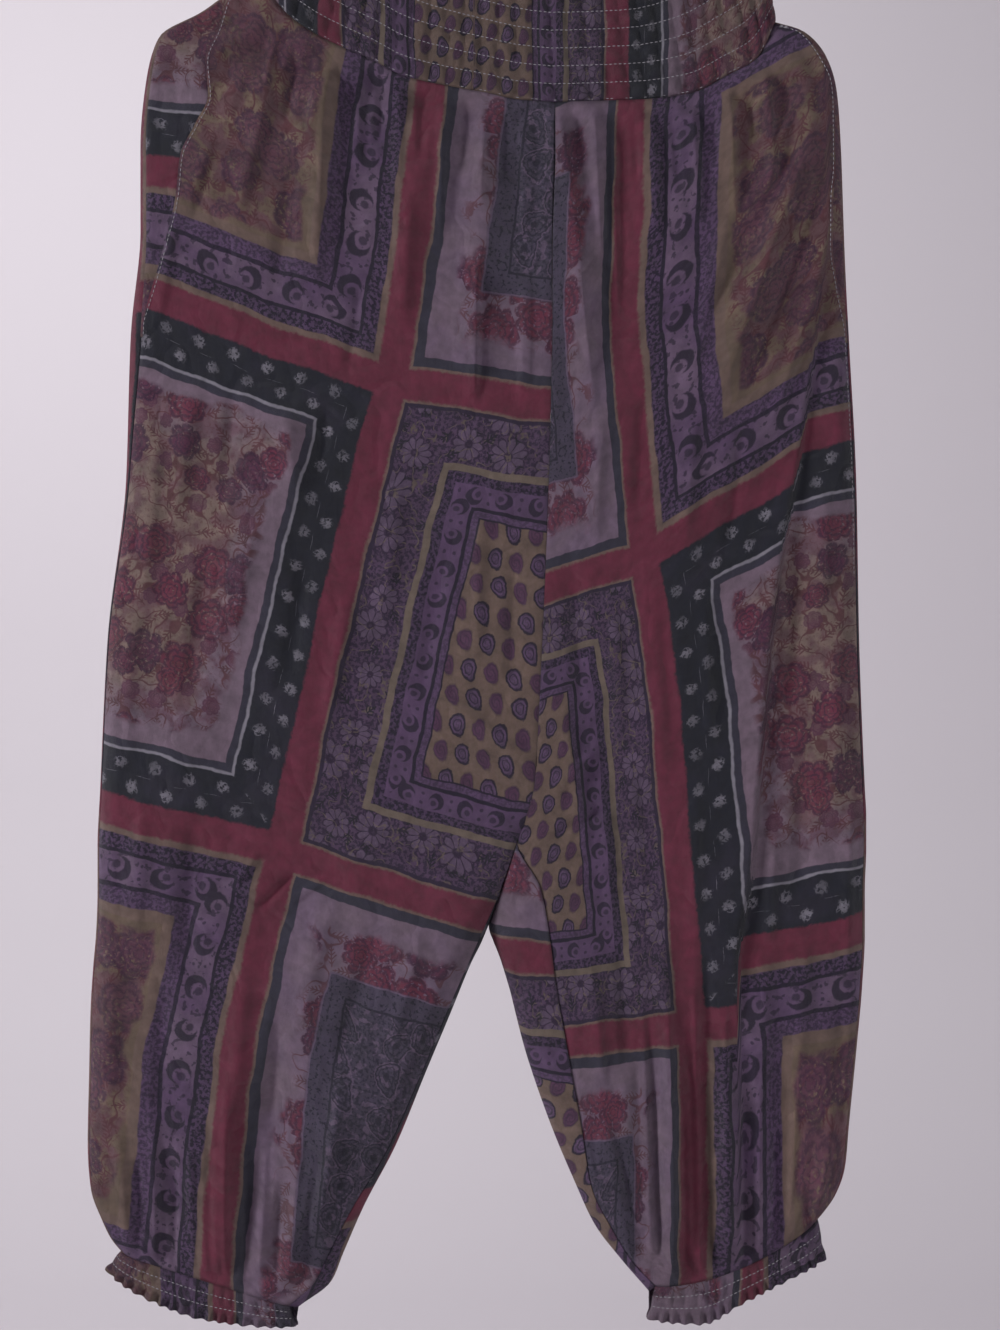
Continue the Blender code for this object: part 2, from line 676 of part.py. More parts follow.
def make_waistband(legs):
    top_edge = along(TOP_EDGE)
    seam_length = {}
    for side, leg in legs.items():
        pieces = [leg.flat_point("front", k / 40, 0) for k in range(41)]
        seam_length[side] = sum(np.linalg.norm(b - a) for a, b in zip(pieces, pieces[1:]))
    whole = seam_length["left"] + seam_length["right"]
    centre = seam_length["left"] / whole
    top_length = sum(
        math.hypot(b[0] - a[0], b[1] - a[1]) * MM for a, b in zip(TOP_EDGE, TOP_EDGE[1:])
    )
    places = band_columns(legs)

    def base(column, w):
        leg, layer, a = places[column]
        if column in (0, len(places) - 1):
            a = SEAM_GAP / 2 / seam_length[leg.side]
        low = leg.point(layer, a, 0) + Vector((0, 0, SEAM_GAP / 2))
        share = centre * (1 - a) if leg.side == "left" else centre + (1 - centre) * a
        x, z = top_edge.at(share)
        end_gap = min(share, 1 - share) * top_length
        depth = BAND_TOP_DEPTH * rounded(end_gap / BAND_TOP_ROUND)
        high = Vector((x, -depth if layer == "front" else depth, z))
        if column in (0, len(places) - 1):
            high.x = x + (SEAM_GAP / 2 if leg.side == "right" else -SEAM_GAP / 2)
        return low.lerp(high, w)

    count = len(places)

    def outward(column, w):
        before, after = max(column - 1, 0), min(column + 1, count - 1)
        across = base(after, w) - base(before, w)
        up = base(column, min(w + 0.05, 1)) - base(column, max(w - 0.05, 0))
        if w == 0:
            up = Vector((0, 0, 1))
        return across.cross(up).normalized()

    frill = BAND_FRILL / BAND_HEIGHT
    levels = [(1 - frill) * k / (2 * BAND_CELLS) for k in range(2 * BAND_CELLS + 1)] + [1.0]
    outer = []
    for n, w in enumerate(levels):
        row = []
        for c in range(count):
            if n == len(levels) - 1:
                lift = BAND_RUFFLE * (1 if c % 2 else -0.2)
            elif n == 0:
                lift = 0.0
            else:
                lift = (BAND_PUFF if n % 2 else BAND_ROW)[c % 2]
            row.append(base(c, w) + outward(c, w) * lift)
        outer.append(row)
    inner = []
    for n in range(0, len(levels), BAND_COARSE_ROWS):
        w = levels[n]
        inner.append([
            base(c, w) - outward(c, w) * WALL for c in range(0, count, BAND_COARSE_COLUMNS)
        ])
    stitched_wall("waistband", outer, inner, BAND_COARSE_COLUMNS, BAND_COARSE_ROWS)


def make_cuff(leg):
    # One strip round the leg, its ends meeting at the inner fold.
    edge = along(CUFF_EDGE[leg.side])
    count = CUFF_WAVES_SIDE * 2
    places = [("back", k / count) for k in range(count)]
    places += [("front", 1 - k / count) for k in range(count + 1)]
    low_length = leg.length("front", 20)

    def base(column, w):
        layer, a = places[column]
        high = leg.point(layer, a, 20) - Vector((0, 0, SEAM_GAP / 2))
        if column in (0, len(places) - 1):
            high = leg.point(layer, 0.002, 20) - Vector((0, 0, SEAM_GAP / 2))
            high.y = SEAM_GAP / 2 if layer == "back" else -SEAM_GAP / 2
        x, z = edge.at(a)
        gap = min(a, 1 - a) * low_length
        depth = CUFF_EDGE_DEPTH * rounded(gap / (14 * MM))
        depth = max(depth, SEAM_GAP / 2)
        low = Vector((x, -depth if layer == "front" else depth, z))
        return high.lerp(low, w)

    total = len(places)

    def outward(column, w):
        before, after = max(column - 1, 0), min(column + 1, total - 1)
        across = base(after, w) - base(before, w)
        up = base(column, max(w - 0.05, 0)) - base(column, min(w + 0.05, 1))
        if column in (0, total - 1):
            return Vector((-leg.sign, 0, -0.2)).normalized()
        found = across.cross(up).normalized()
        facing = Vector((0, -1 if places[column][0] == "front" else 1, 0))
        if abs(found.dot(facing)) < 0.2:
            facing = Vector((leg.sign, 0, 0))
        return found if found.dot(facing) > 0 else -found

    grid = []
    for n, w in enumerate(CUFF_LEVELS):
        row = []
        for c in range(total):
            wave = 1 if c % 2 else -0.4
            lift = 0.0
            if n == 1:
                lift = CUFF_PUFF * (1 if c % 2 else 0.3)
            if n >= 3:
                lift = CUFF_RUFFLE * wave * (n - 2) / 2
            normal = outward(c, w)
            row.append((base(c, w) + normal * lift, normal))
        grid.append(row)
    cloth_panel(leg.side + "_cuff", *walled(grid))


def main():
    clear_scene()
    legs = {
        "left": Leg("left", LEFT_LEG, SEAM_LEFT),
        "right": Leg("right", RIGHT_LEG, SEAM_RIGHT),
    }
    for leg in legs.values():
        make_front(leg)
        make_back(leg)
        make_pocket_facing(leg)
        make_cuff(leg)
    make_waistband(legs)


main()
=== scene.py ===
import math

import bmesh
import bpy
import numpy as np
from mathutils import Matrix, Vector


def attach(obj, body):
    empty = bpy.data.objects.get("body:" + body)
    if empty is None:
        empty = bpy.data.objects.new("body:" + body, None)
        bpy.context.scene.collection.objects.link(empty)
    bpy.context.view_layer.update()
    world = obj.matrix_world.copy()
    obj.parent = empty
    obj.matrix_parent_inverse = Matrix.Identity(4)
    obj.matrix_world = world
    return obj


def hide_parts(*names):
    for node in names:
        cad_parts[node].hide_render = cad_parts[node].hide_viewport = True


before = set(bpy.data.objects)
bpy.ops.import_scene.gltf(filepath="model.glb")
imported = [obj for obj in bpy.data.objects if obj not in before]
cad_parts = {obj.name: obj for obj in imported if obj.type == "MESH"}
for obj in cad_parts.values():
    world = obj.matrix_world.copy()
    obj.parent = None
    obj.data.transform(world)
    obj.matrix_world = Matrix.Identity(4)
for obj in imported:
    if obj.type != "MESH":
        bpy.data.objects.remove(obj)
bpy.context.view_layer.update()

mm = 0.001

# Left and right are as seen from the front, which faces -Y.
# Leg sections from the waist seam down to the cuff seam, in millimetres, as the solids have them.
legColumns = (
    "outerX", "outerZ", "frontX", "frontZ", "backX", "backZ",
    "sideSeam", "sag", "depthFront", "depthBack",
)
leftLeg = (
    (-177, -76, 30, -173, 30, -173, 4, 0, 19, 17),
    (-215, -106, 30, -191, 30, -198, 5, 0, 22, 20),
    (-246, -125, 30, -212, 30, -226, 6, 0, 25, 23),
    (-255, -156, 29, -239, 30, -261, 8, 0, 28, 26),
    (-259, -202, 28, -275, 29, -307, 8, 0, 29, 27),
    (-259, -261, 28, -321, 28, -359, 8, 0, 30, 28),
    (-266, -335, 27, -377, 28, -422, 11, 0, 30, 28),
    (-269, -433, 25, -447, 26, -503, 5, 0, 30, 28),
    (-282, -545, 21, -545, 22, -594, 3, 0, 29, 27),
    (-287, -645, 15, -648, 14, -692, 3, 0, 28, 27),
    (-289, -688, 3.5, -685, -3, -722, 3, 0, 28, 27),
    (-289, -720, -7.4, -718, -16, -744, 3, 0, 28, 27),
    (-290, -748, -19.5, -746, -21, -756, 3, 0, 28, 27),
    (-292, -772, -30, -770, -28, -770, 3, 0, 28, 27),
    (-294, -804, -45, -804, -42, -804, 3, 0, 27, 26),
    (-295, -846, -63, -847, -60, -847, 3, 0, 26, 25),
    (-296, -895, -86, -898, -81, -898, 3, 0, 25, 24),
    (-294, -926, -111, -940, -103, -940, 3, 0, 23, 22),
    (-287, -947, -127, -971, -117, -972, 3, 0, 20, 19),
    (-280, -962, -137, -991, -126, -993, 3, 0, 16, 15),
    (-273, -972, -155, -1009, -149, -1011, 3, 0, 10, 9),
)
rightLeg = (
    (184, -113, 30, -173, 30, -173, 3, 0, 19, 17),
    (202, -119, 30, -191, 30, -198, 3, 0, 22, 20),
    (219, -137, 30, -212, 30, -226, 3, 0, 25, 23),
    (227, -163, 29, -239, 30, -261, 3, 0, 28, 26),
    (230, -205, 28, -275, 29, -307, 3, 0, 29, 27),
    (232, -261, 28, -321, 28, -359, 3, 0, 30, 28),
    (236, -338, 27, -377, 28, -422, 3, 0, 30, 28),
    (241, -436, 25, -447, 26, -503, 3, 0, 30, 28),
    (243, -545, 21, -545, 22, -594, 3, 0, 29, 27),
    (247, -648, 15, -648, 14, -692, 3, 0, 28, 27),
    (248, -668, 9.3, -666.5, -3, -722, 3, 0, 28, 27),
    (248, -690, 3.5, -685, -16, -744, 3, 0, 28, 27),
    (247, -720, 20, -716, -13, -755, 3, 0, 28, 27),
    (247, -750, 26, -748, -9, -765, 3, 0, 28, 27),
    (245, -787, 31, -785, -2, -787, 3, 0, 27, 26),
    (241, -830, 39, -830, 9, -830, 3, 0, 26, 25),
    (236, -880, 48, -880, 26, -880, 3, 0, 25, 24),
    (233, -912, 55, -923, 44, -923, 3, 2, 23, 22),
    (227, -930, 69, -952, 58, -953, 3, 5, 20, 19),
    (220, -941, 84, -977, 77, -978, 3, 8, 16, 15),
    (214, -949, 100, -995, 96, -1000, 3, 11, 10, 9),
)
seamLeft = (
    (30, -173), (3, -171), (-15, -167), (-43, -162), (-74, -155), (-98, -143),
    (-117, -135), (-137, -125), (-156, -111), (-168, -95), (-177, -76),
)
seamRight = ((30, -173), (62, -172), (90, -171), (123, -167), (148, -155), (170, -142), (184, -113))
topEdge = ((-172, 19), (-113, -23), (-64, -53), (-15, -70), (30, -78), (76, -76), (118, -60), (172, -19))
crotchRise = ((15, -648), (9.3, -666.5), (3.5, -685), (-16, -744))

cut = {
    "shell": 0.5 * mm,          # thickness of the cloth
    "seamGap": 0.05 * mm,
    "rowStep": 2.7 * mm,        # size of a panel's cells down the leg
    "across": 94,               # cells across the flat part of a panel
    "crotchRow": 11, "cuffRow": 20, "sagRows": 6, "sagFade": 1.3,
    "stripColumns": 5,          # columns of the back that lie in front, beside the side seam
    "hookColumns": 24,          # columns of the back that come forward again below the crotch
    "frontTurn": -640 * mm, "backTurn": -590 * mm, "crotchLow": -744 * mm,
    "edgeRound": 17 * mm, "innerRound": 20 * mm,
    "seamDip": 0.9 * mm, "seamDipWidth": 1.6 * mm,
}

# Folds as soft ridges and troughs: start, end, half width and height outward, in millimetres.
foldColumns = ("x0", "z0", "x1", "z1", "width", "height")
bigFolds = {
    "left_front": (
        (-127, -140, -134, -290, 15, 6),
        (-65, -170, -75, -320, 14, 5),
        (-22, -190, -26, -380, 11, 5),
        (-150, -380, -180, -520, 26, 5),
        (-60, -430, -110, -640, 28, -4),
        (-225, -560, -240, -760, 24, 4),
        (-120, -690, -175, -760, 20, -4),
        (-205, -860, -206, -995, 10, 6),
        (-160, -830, -188, -985, 11, -5),
        (-235, -900, -238, -985, 11, -4),
        (-110, -850, -150, -975, 14, 5),
    ),
    "right_front": (
        (35, -190, 55, -370, 11, 5),
        (75, -185, 70, -330, 13, -4),
        (203, -200, 144, -380, 15, 6),
        (222, -300, 165, -470, 15, -5),
        (120, -440, 105, -640, 22, 5),
        (60, -560, 75, -780, 20, -4),
        (91, -800, 96, -990, 9, -5),
        (109, -810, 113, -985, 9, 6),
        (128, -830, 132, -985, 9, -5),
        (148, -840, 150, -975, 10, 6),
        (190, -820, 190, -960, 14, -4),
    ),
    "left_back": (
        (-130, -150, -120, -330, 16, 6),
        (-50, -180, -62, -400, 18, -4),
        (-185, -330, -150, -560, 26, 5),
        (-90, -470, -110, -690, 26, -4),
        (-215, -640, -190, -800, 24, 5),
        (-190, -860, -200, -990, 11, 6),
        (-140, -850, -170, -990, 12, -5),
        (-240, -880, -240, -975, 12, -4),
    ),
    "right_back": (
        (70, -185, 90, -400, 16, 6),
        (150, -190, 140, -360, 16, -4),
        (190, -320, 150, -560, 26, 5),
        (80, -500, 90, -700, 26, -4),
        (200, -650, 170, -800, 24, 5),
        (120, -850, 122, -990, 10, 6),
        (160, -850, 158, -980, 11, -5),
        (200, -860, 195, -960, 12, 5),
    ),
}
dropLine = (
    (217, -272), (209, -342), (198, -422), (187, -484), (180, -538),
    (174, -610), (166, -701), (156, -769), (157, -819),
)
drop = {
    "depth": 7 * mm, "width": 7 * mm, "top": -250 * mm, "topFade": 60 * mm,
    "low": -860 * mm, "lowFade": 120 * mm,
}
gathers = {
    "waistWaves": 7, "waistHeight": 3.6 * mm, "waistRise": 16 * mm, "waistFall": 60 * mm,
    "cuffWaves": 6, "cuffHeight": 3.0 * mm, "cuffRise": 14 * mm, "cuffFall": 45 * mm,
    "front": 0.25, "back": 0.6,
}
pocketMouth = {
    "left": (
        (-183, -80), (-196, -100), (-203, -123), (-211, -146), (-209, -170),
        (-218, -191), (-228, -212), (-231, -240), (-243, -289), (-256, -330),
    ),
    "right": (
        (190, -113), (203, -125), (214, -141), (222, -160), (223, -177),
        (223, -218), (221, -243), (221, -272), (226, -300), (233, -330),
    ),
}
pocket = {"lap": 6 * mm, "drop": 2.0 * mm, "lowRow": 6.0, "highRow": 0.05, "columns": 24,
          "stitchedTo": {"left": 6.0, "right": 7.6}}      # the rows where the stitches beside the mouths end


def smooth(t):
    t = np.clip(t, 0.0, 1.0)
    return t * t * (3 - 2 * t)


def rounded(t):
    t = np.clip(t, 0.0, 1.0)
    return np.sqrt(1 - (1 - t) ** 2)      # quarter circle from the fold to the flat


class Curve:
    # Rows of numbers read smoothly at any place, never swinging past their own values.
    def __init__(self, rows, places=None):
        self.rows = np.array(rows, dtype=float)
        self.places = np.arange(len(rows), dtype=float) if places is None else np.array(places)
        self.steps = np.diff(self.places)
        rises = np.diff(self.rows, axis=0) / self.steps[:, None]
        product = rises[:-1] * rises[1:]
        inner = np.where(product > 0, 2 * product / (rises[:-1] + rises[1:] + 1e-12), 0)
        self.slopes = np.vstack([rises[:1], inner, rises[-1:]])

    def at(self, place):
        place = np.clip(place, self.places[0], self.places[-1])
        k = np.clip(np.searchsorted(self.places, place, side="right") - 1, 0, len(self.steps) - 1)
        h = self.steps[k]
        t = ((place - self.places[k]) / h)[..., None]
        h = h[..., None]
        return (
            self.rows[k] * (1 + 2 * t) * (1 - t) ** 2
            + self.slopes[k] * h * t * (1 - t) ** 2
            + self.rows[k + 1] * t * t * (3 - 2 * t)
            + self.slopes[k + 1] * h * t * t * (t - 1)
        )


def along(points):
    points = np.array(points, dtype=float) * mm
    lengths = np.concatenate([[0], np.cumsum(np.linalg.norm(np.diff(points, axis=0), axis=1))])
    return Curve(points, lengths / lengths[-1])


def byHeight(points):
    ordered = sorted((z * mm, x * mm) for x, z in points)
    return Curve([[x] for z, x in ordered], [z for z, x in ordered])


riseX = byHeight(crotchRise)
dropX = byHeight(dropLine)


def foldRelief(folds, x, z):
    total = np.zeros_like(x)
    for row in folds:
        fold = dict(zip(foldColumns, (value * mm for value in row)))
        dx, dz = fold["x1"] - fold["x0"], fold["z1"] - fold["z0"]
        length = math.hypot(dx, dz)
        t = ((x - fold["x0"]) * dx + (z - fold["z0"]) * dz) / length**2
        across = ((x - fold["x0"]) * dz - (z - fold["z0"]) * dx) / length
        ends = smooth((t + 0.15) / 0.4) * smooth((1.15 - t) / 0.4)
        total += fold["height"] * ends * np.exp(-((across / fold["width"]) ** 2))
    return total


class Leg:
    # One leg from the waist seam to the cuff seam, on the solids' own form.
    def __init__(self, side, rows, seam):
        self.side = side
        self.sign = -1 if side == "left" else 1
        self.table = Curve(rows)
        self.seam = along(seam)
        self.innerX = byHeight([(row[4], row[5]) for row in rows[cut["crotchRow"]:]])

    def section(self, v):
        values = self.table.at(np.asarray(v, dtype=float)) * mm
        return {name: values[..., k] for k, name in enumerate(legColumns)}

    def rowEnds(self, layer, v):
        row = self.section(v)
        inner = np.stack([row[layer + "X"], row[layer + "Z"]], -1)
        return inner, np.stack([row["outerX"], row["outerZ"]], -1)

    def flatPoint(self, layer, a, v):
        inner, outer = self.rowEnds(layer, v)
        row = self.section(v)
        place = inner + (outer - inner) * a[..., None]
        place[..., 1] -= row["sag"] * 4 * a * (1 - a)
        top = self.section(np.zeros(1))
        topInner = np.array([top["frontX"][0], top["frontZ"][0]])
        topOuter = np.array([top["outerX"][0], top["outerZ"][0]])
        bend = self.seam.at(a) - (topInner + (topOuter - topInner) * a[..., None])
        fade = np.clip(1 - v / cut["sagRows"], 0, 1) ** cut["sagFade"]
        return place + bend * fade[..., None]

    def length(self, layer, v):
        inner, outer = self.rowEnds(layer, v)
        return np.linalg.norm(outer - inner, axis=-1)

    def innerShare(self, layer, x, z):
        start = cut["frontTurn"] if layer == "front" else cut["backTurn"]
        share = np.clip((start - z) / (start - cut["crotchLow"]), 0, 1)
        turn = np.sqrt(1 - share**2)
        step = 1 * mm

        def edge(height):
            return np.where(z > cut["crotchLow"], riseX.at(height)[..., 0], self.innerX.at(height)[..., 0])

        slant = (edge(z + step) - edge(z - step)) / (2 * step)
        gap = (x - edge(z)) * self.sign / np.sqrt(1 + slant**2)
        gap = np.maximum(gap, 0)
        return turn + (1 - turn) * rounded(gap / cut["innerRound"])

    def waves(self, layer, a, v, z):
        g = gathers
        below = self.flatPoint(layer, a, np.zeros_like(a))[..., 1] - z
        above = z - self.flatPoint(layer, a, np.full_like(a, cut["cuffRow"]))[..., 1]
        waist = np.sin(2 * np.pi * (g["waistWaves"] * a + g[layer]))
        waist *= g["waistHeight"] * smooth(below / g["waistRise"]) * np.exp(-below / g["waistFall"])
        cuff = np.sin(2 * np.pi * (g["cuffWaves"] * a + g[layer]))
        cuff *= g["cuffHeight"] * smooth(above / g["cuffRise"]) * np.exp(-above / g["cuffFall"])
        return waist + cuff

    def depth(self, layer, a, v, x, z):
        row = self.section(v)
        full = row["depthFront"] if layer == "front" else row["depthBack"]
        gap = (1 - a) * self.length(layer, v)
        share = rounded(gap / cut["edgeRound"]) * self.innerShare(layer, x, z)
        nearSeam = smooth(v) * smooth(cut["cuffRow"] - v)
        relief = foldRelief(bigFolds[self.side + "_" + layer], x, z) * nearSeam
        relief += self.waves(layer, a, v, z)
        relief += fineRelief(self.side + "_" + layer, x, z) * nearSeam
        if self.side == "right" and layer == "front":
            past = x - dropX.at(z)[..., 0]
            ends = smooth((drop["top"] - z) / drop["topFade"]) * smooth((z - drop["low"]) / drop["lowFade"])
            relief -= drop["depth"] * smooth(past / drop["width"] + 0.5) * ends
        outward = full * share + relief * share
        return -outward if layer == "front" else outward

    def point(self, layer, a, v):
        a, v = np.broadcast_arrays(np.asarray(a, float), np.asarray(v, float))
        flat = self.flatPoint(layer, a, v)
        x, z = flat[..., 0], flat[..., 1]
        return np.stack([x, self.depth(layer, a, v, x, z), z], -1)

    def hookPoint(self, h, v):
        # The back's strip that comes forward: h runs from the inner fold, 0, to the inseam, 1.
        fold, _ = self.rowEnds("back", v)
        inseam, _ = self.rowEnds("front", v)
        flat = fold + (inseam - fold) * h[..., None]
        x, z = flat[..., 0], flat[..., 1]
        return np.stack([x, self.depth("front", np.zeros_like(x), v, x, z), z], -1)


# Smaller creases and gathers: start, end, half width and height, in millimetres.
fineFolds = {
    "left_front": (
        (-161, -116, -170, -163, 3.2, 1.6), (-148, -126, -155, -188, 3.6, -1.5),
        (-133, -136, -138, -202, 3.4, 1.8), (-118, -143, -121, -186, 3.0, -1.2),
        (-105, -148, -107, -221, 3.8, 1.7), (-89, -155, -92, -202, 3.0, -1.5),
        (-77, -161, -79, -237, 3.6, 1.4), (-61, -165, -63, -216, 3.0, -1.3),
        (-47, -169, -49, -265, 3.4, 1.8), (-32, -172, -35, -223, 3.0, -1.4),
        (-19, -175, -22, -244, 3.2, 1.5), (-5, -178, -6, -230, 3.0, -1.3), (9, -179, 8, -265, 3.2, 1.5),
        (21, -181, 21, -230, 2.6, -1.1), (-24, -286, -26, -377, 2.6, 1.6),
        (-19, -293, -21, -377, 2.4, -1.4), (9, -296, 7, -377, 2.6, 1.5), (-183, -149, -215, -230, 5, 1.6),
        (-198, -181, -218, -258, 4, -1.3), (-169, -174, -190, -258, 5, 1.5),
        (-148, -209, -162, -307, 6, -1.6), (-127, -139, -134, -286, 5, 1.8),
        (-232, -258, -243, -328, 4, 1.2), (-71, -237, -75, -328, 5, 1.3), (-103, -300, -113, -363, 4, -1.2),
        (-218, -377, -232, -461, 7, 1.8), (-190, -373, -196, -433, 5, -1.6),
        (-155, -391, -148, -447, 7, 2.0), (-127, -384, -133, -433, 4, -1.2),
        (-243, -405, -253, -517, 6, 1.6), (-208, -489, -222, -587, 7, -1.6),
        (-176, -461, -194, -545, 6, 1.5), (-260, -531, -266, -629, 6, 1.4),
        (-141, -489, -155, -573, 6, -1.5), (-113, -517, -127, -601, 5, 1.3), (-78, -433, -89, -531, 6, 1.4),
        (-50, -489, -61, -587, 6, -1.4), (-22, -461, -25, -559, 5, 1.3), (2, -489, -1, -580, 4, -1.1),
        (13, -629, -43, -587, 5, 1.5), (9, -650, -57, -629, 4, -1.4), (6, -671, -78, -664, 4, 1.4),
        (-8, -692, -71, -692, 4, -1.2), (-191, -713, -175, -693, 2.6, 1.2),
        (-175, -730, -148, -704, 2.6, -1.2), (-155, -727, -126, -707, 2.4, 1.1),
        (-253, -657, -260, -748, 7, 1.6), (-218, -671, -225, -769, 7, -1.6),
        (-127, -727, -148, -818, 8, 1.8), (-92, -741, -120, -839, 7, -1.5), (-64, -748, -82, -825, 6, 1.4),
        (-274, -762, -278, -867, 7, 1.5), (-239, -783, -243, -881, 6, -1.4),
        (-183, -769, -194, -881, 7, 1.7), (-159, -797, -169, -888, 5, -1.4),
        (-271, -881, -267, -968, 4, 1.5), (-258, -902, -259, -980, 3, -1.5),
        (-246, -874, -247, -989, 4, 1.7), (-233, -916, -235, -995, 3, -1.4),
        (-221, -888, -221, -1000, 3.5, 1.6), (-208, -867, -208, -1003, 3.5, -1.8),
        (-196, -860, -197, -1007, 3.5, 1.8), (-183, -902, -185, -1007, 3, -1.5),
        (-170, -881, -175, -1008, 3.5, 1.7), (-159, -916, -165, -1007, 3, -1.5),
        (-146, -888, -155, -1000, 3.5, 1.4), (-133, -902, -148, -993, 3, -1.3),
        (-117, -853, -134, -958, 4, 1.3),
    ),
    "right_front": (
        (44, -182, 47, -237, 3, -1.3), (56, -183, 62, -279, 3.4, 1.7), (34, -188, 55, -377, 4, 1.7),
        (70, -182, 72, -328, 3.2, 1.5), (84, -181, 87, -237, 3, -1.3), (97, -182, 100, -272, 3.6, 1.6),
        (111, -181, 115, -230, 3, -1.4), (125, -176, 128, -258, 3.4, 1.6), (138, -171, 140, -216, 3, -1.3),
        (150, -165, 153, -247, 3.6, 1.6), (163, -158, 166, -202, 3, -1.3), (175, -150, 178, -230, 3.6, 1.5),
        (202, -202, 142, -377, 5, 1.8), (212, -237, 163, -370, 4, -1.5), (195, -174, 167, -251, 4, 1.4),
        (216, -279, 181, -391, 4, 1.4), (181, -237, 132, -328, 5, -1.3), (146, -258, 125, -363, 5, 1.4),
        (62, -391, 56, -475, 5, 1.4), (90, -377, 87, -461, 5, -1.3), (125, -391, 118, -475, 6, 1.5),
        (160, -398, 146, -489, 5, -1.3), (41, -489, 48, -587, 5, -1.4), (69, -517, 76, -615, 5, 1.4),
        (104, -517, 112, -629, 6, -1.4), (132, -517, 136, -615, 5, 1.3), (34, -587, 51, -685, 4, 1.4),
        (90, -629, 98, -727, 6, -1.4), (62, -643, 70, -741, 5, 1.5), (125, -643, 125, -741, 6, 1.4),
        (216, -433, 212, -531, 7, 1.8), (195, -489, 192, -587, 5, -1.5), (223, -545, 222, -657, 7, 1.6),
        (202, -629, 198, -727, 6, -1.4), (233, -671, 231, -762, 5, 1.3), (181, -671, 177, -755, 5, 1.4),
        (23, -657, 62, -615, 4, 1.4), (23, -685, 69, -657, 4, -1.3), (27, -713, 69, -699, 4, 1.3),
        (202, -748, 195, -853, 7, 1.7), (230, -783, 223, -881, 6, -1.4), (174, -769, 171, -867, 6, 1.5),
        (55, -769, 62, -853, 5, 1.5), (76, -755, 79, -839, 5, -1.3), (104, -748, 105, -825, 5, 1.4),
        (133, -755, 135, -825, 4, -1.3), (90, -797, 97, -1000, 3.2, 1.9), (98, -839, 104, -996, 2.8, -1.7),
        (107, -797, 112, -993, 3, 1.8), (117, -853, 121, -993, 2.6, -1.8), (125, -790, 131, -989, 3, 1.9),
        (135, -839, 140, -989, 2.8, -1.7), (146, -797, 149, -986, 3.2, 1.8),
        (159, -860, 161, -982, 2.8, -1.5), (170, -853, 170, -977, 3.4, 1.6),
        (182, -881, 181, -972, 2.8, -1.4), (195, -853, 191, -967, 3.6, 1.6),
        (208, -888, 202, -961, 2.8, -1.3), (222, -860, 210, -954, 3.4, 1.4), (62, -867, 83, -965, 4, 1.4),
        (75, -902, 90, -986, 3, -1.3),
    ),
}


def onTheBack(rows, sideways, down):
    # The hidden side's creases: like the front's, but elsewhere and turned the other way.
    moved = []
    for x0, z0, x1, z1, width, height in rows:
        moved.append((x0 + sideways, z0 + down, x1 + sideways, z1 + down, width * 1.1, -0.9 * height))
    return moved


fineFolds["left_back"] = onTheBack(fineFolds["left_front"], 6, -9)
fineFolds["right_back"] = onTheBack(fineFolds["right_front"], -5, -11)


fineFoldShare = 2.4      # how high the fine folds stand, as a multiple of the heights in their tables


def fineRelief(panel, x, z):
    return fineFoldShare * foldRelief(fineFolds[panel], x, z)


legs = {"left": Leg("left", leftLeg, seamLeft), "right": Leg("right", rightLeg, seamRight)}


def rowPlaces(leg, low, high, step):
    # Rows evenly spaced along the middle of the leg.
    fine = np.linspace(low, high, 400)
    points = leg.flatPoint("front", np.full_like(fine, 0.5), fine)
    lengths = np.concatenate([[0], np.cumsum(np.linalg.norm(np.diff(points, axis=0), axis=1))])
    count = max(int(round(lengths[-1] / step)), 2)
    return np.interp(np.linspace(0, lengths[-1], count + 1), lengths, fine)


def quarterSteps(radius, count):
    return radius * (1 - np.cos(np.linspace(0, np.pi / 2, count + 1)))


def gridMesh(name, points, uv, missing=None):
    # A grid moved onto its form; uv holds the print's own coordinates, in metres of cloth.
    rows, columns = points.shape[:2]
    bm = bmesh.new()
    bmesh.ops.create_grid(bm, x_segments=columns - 1, y_segments=rows - 1, size=0.5)
    layer = bm.loops.layers.uv.new("print")
    places = {}
    for vertex in bm.verts:
        i = round((vertex.co.x + 0.5) * (columns - 1))
        j = round((vertex.co.y + 0.5) * (rows - 1))
        places[vertex] = (j, i)
    for vertex, (j, i) in places.items():
        vertex.co = points[j, i]
        for loop in vertex.link_loops:
            loop[layer].uv = uv[j, i]
    if missing is not None:
        bmesh.ops.delete(bm, geom=[v for v, place in places.items() if missing[place]], context="VERTS")
    bmesh.ops.recalc_face_normals(bm, faces=bm.faces)
    outward = sum(
        math.copysign(face.calc_area(), face.calc_center_median().y) * face.normal.y for face in bm.faces
    )
    if outward < 0:
        bmesh.ops.reverse_faces(bm, faces=bm.faces)
    mesh = bpy.data.meshes.new(name)
    bm.to_mesh(mesh)
    bm.free()
    mesh.shade_smooth()
    piece = bpy.data.objects.new(name, mesh)
    bpy.context.scene.collection.objects.link(piece)
    return piece


def asCloth(piece, material, node):
    piece.data.materials.append(material)
    solid = piece.modifiers.new("thickness", "SOLIDIFY")
    solid.thickness = cut["shell"]
    solid.offset = -1
    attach(piece, "root")
    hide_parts(node)


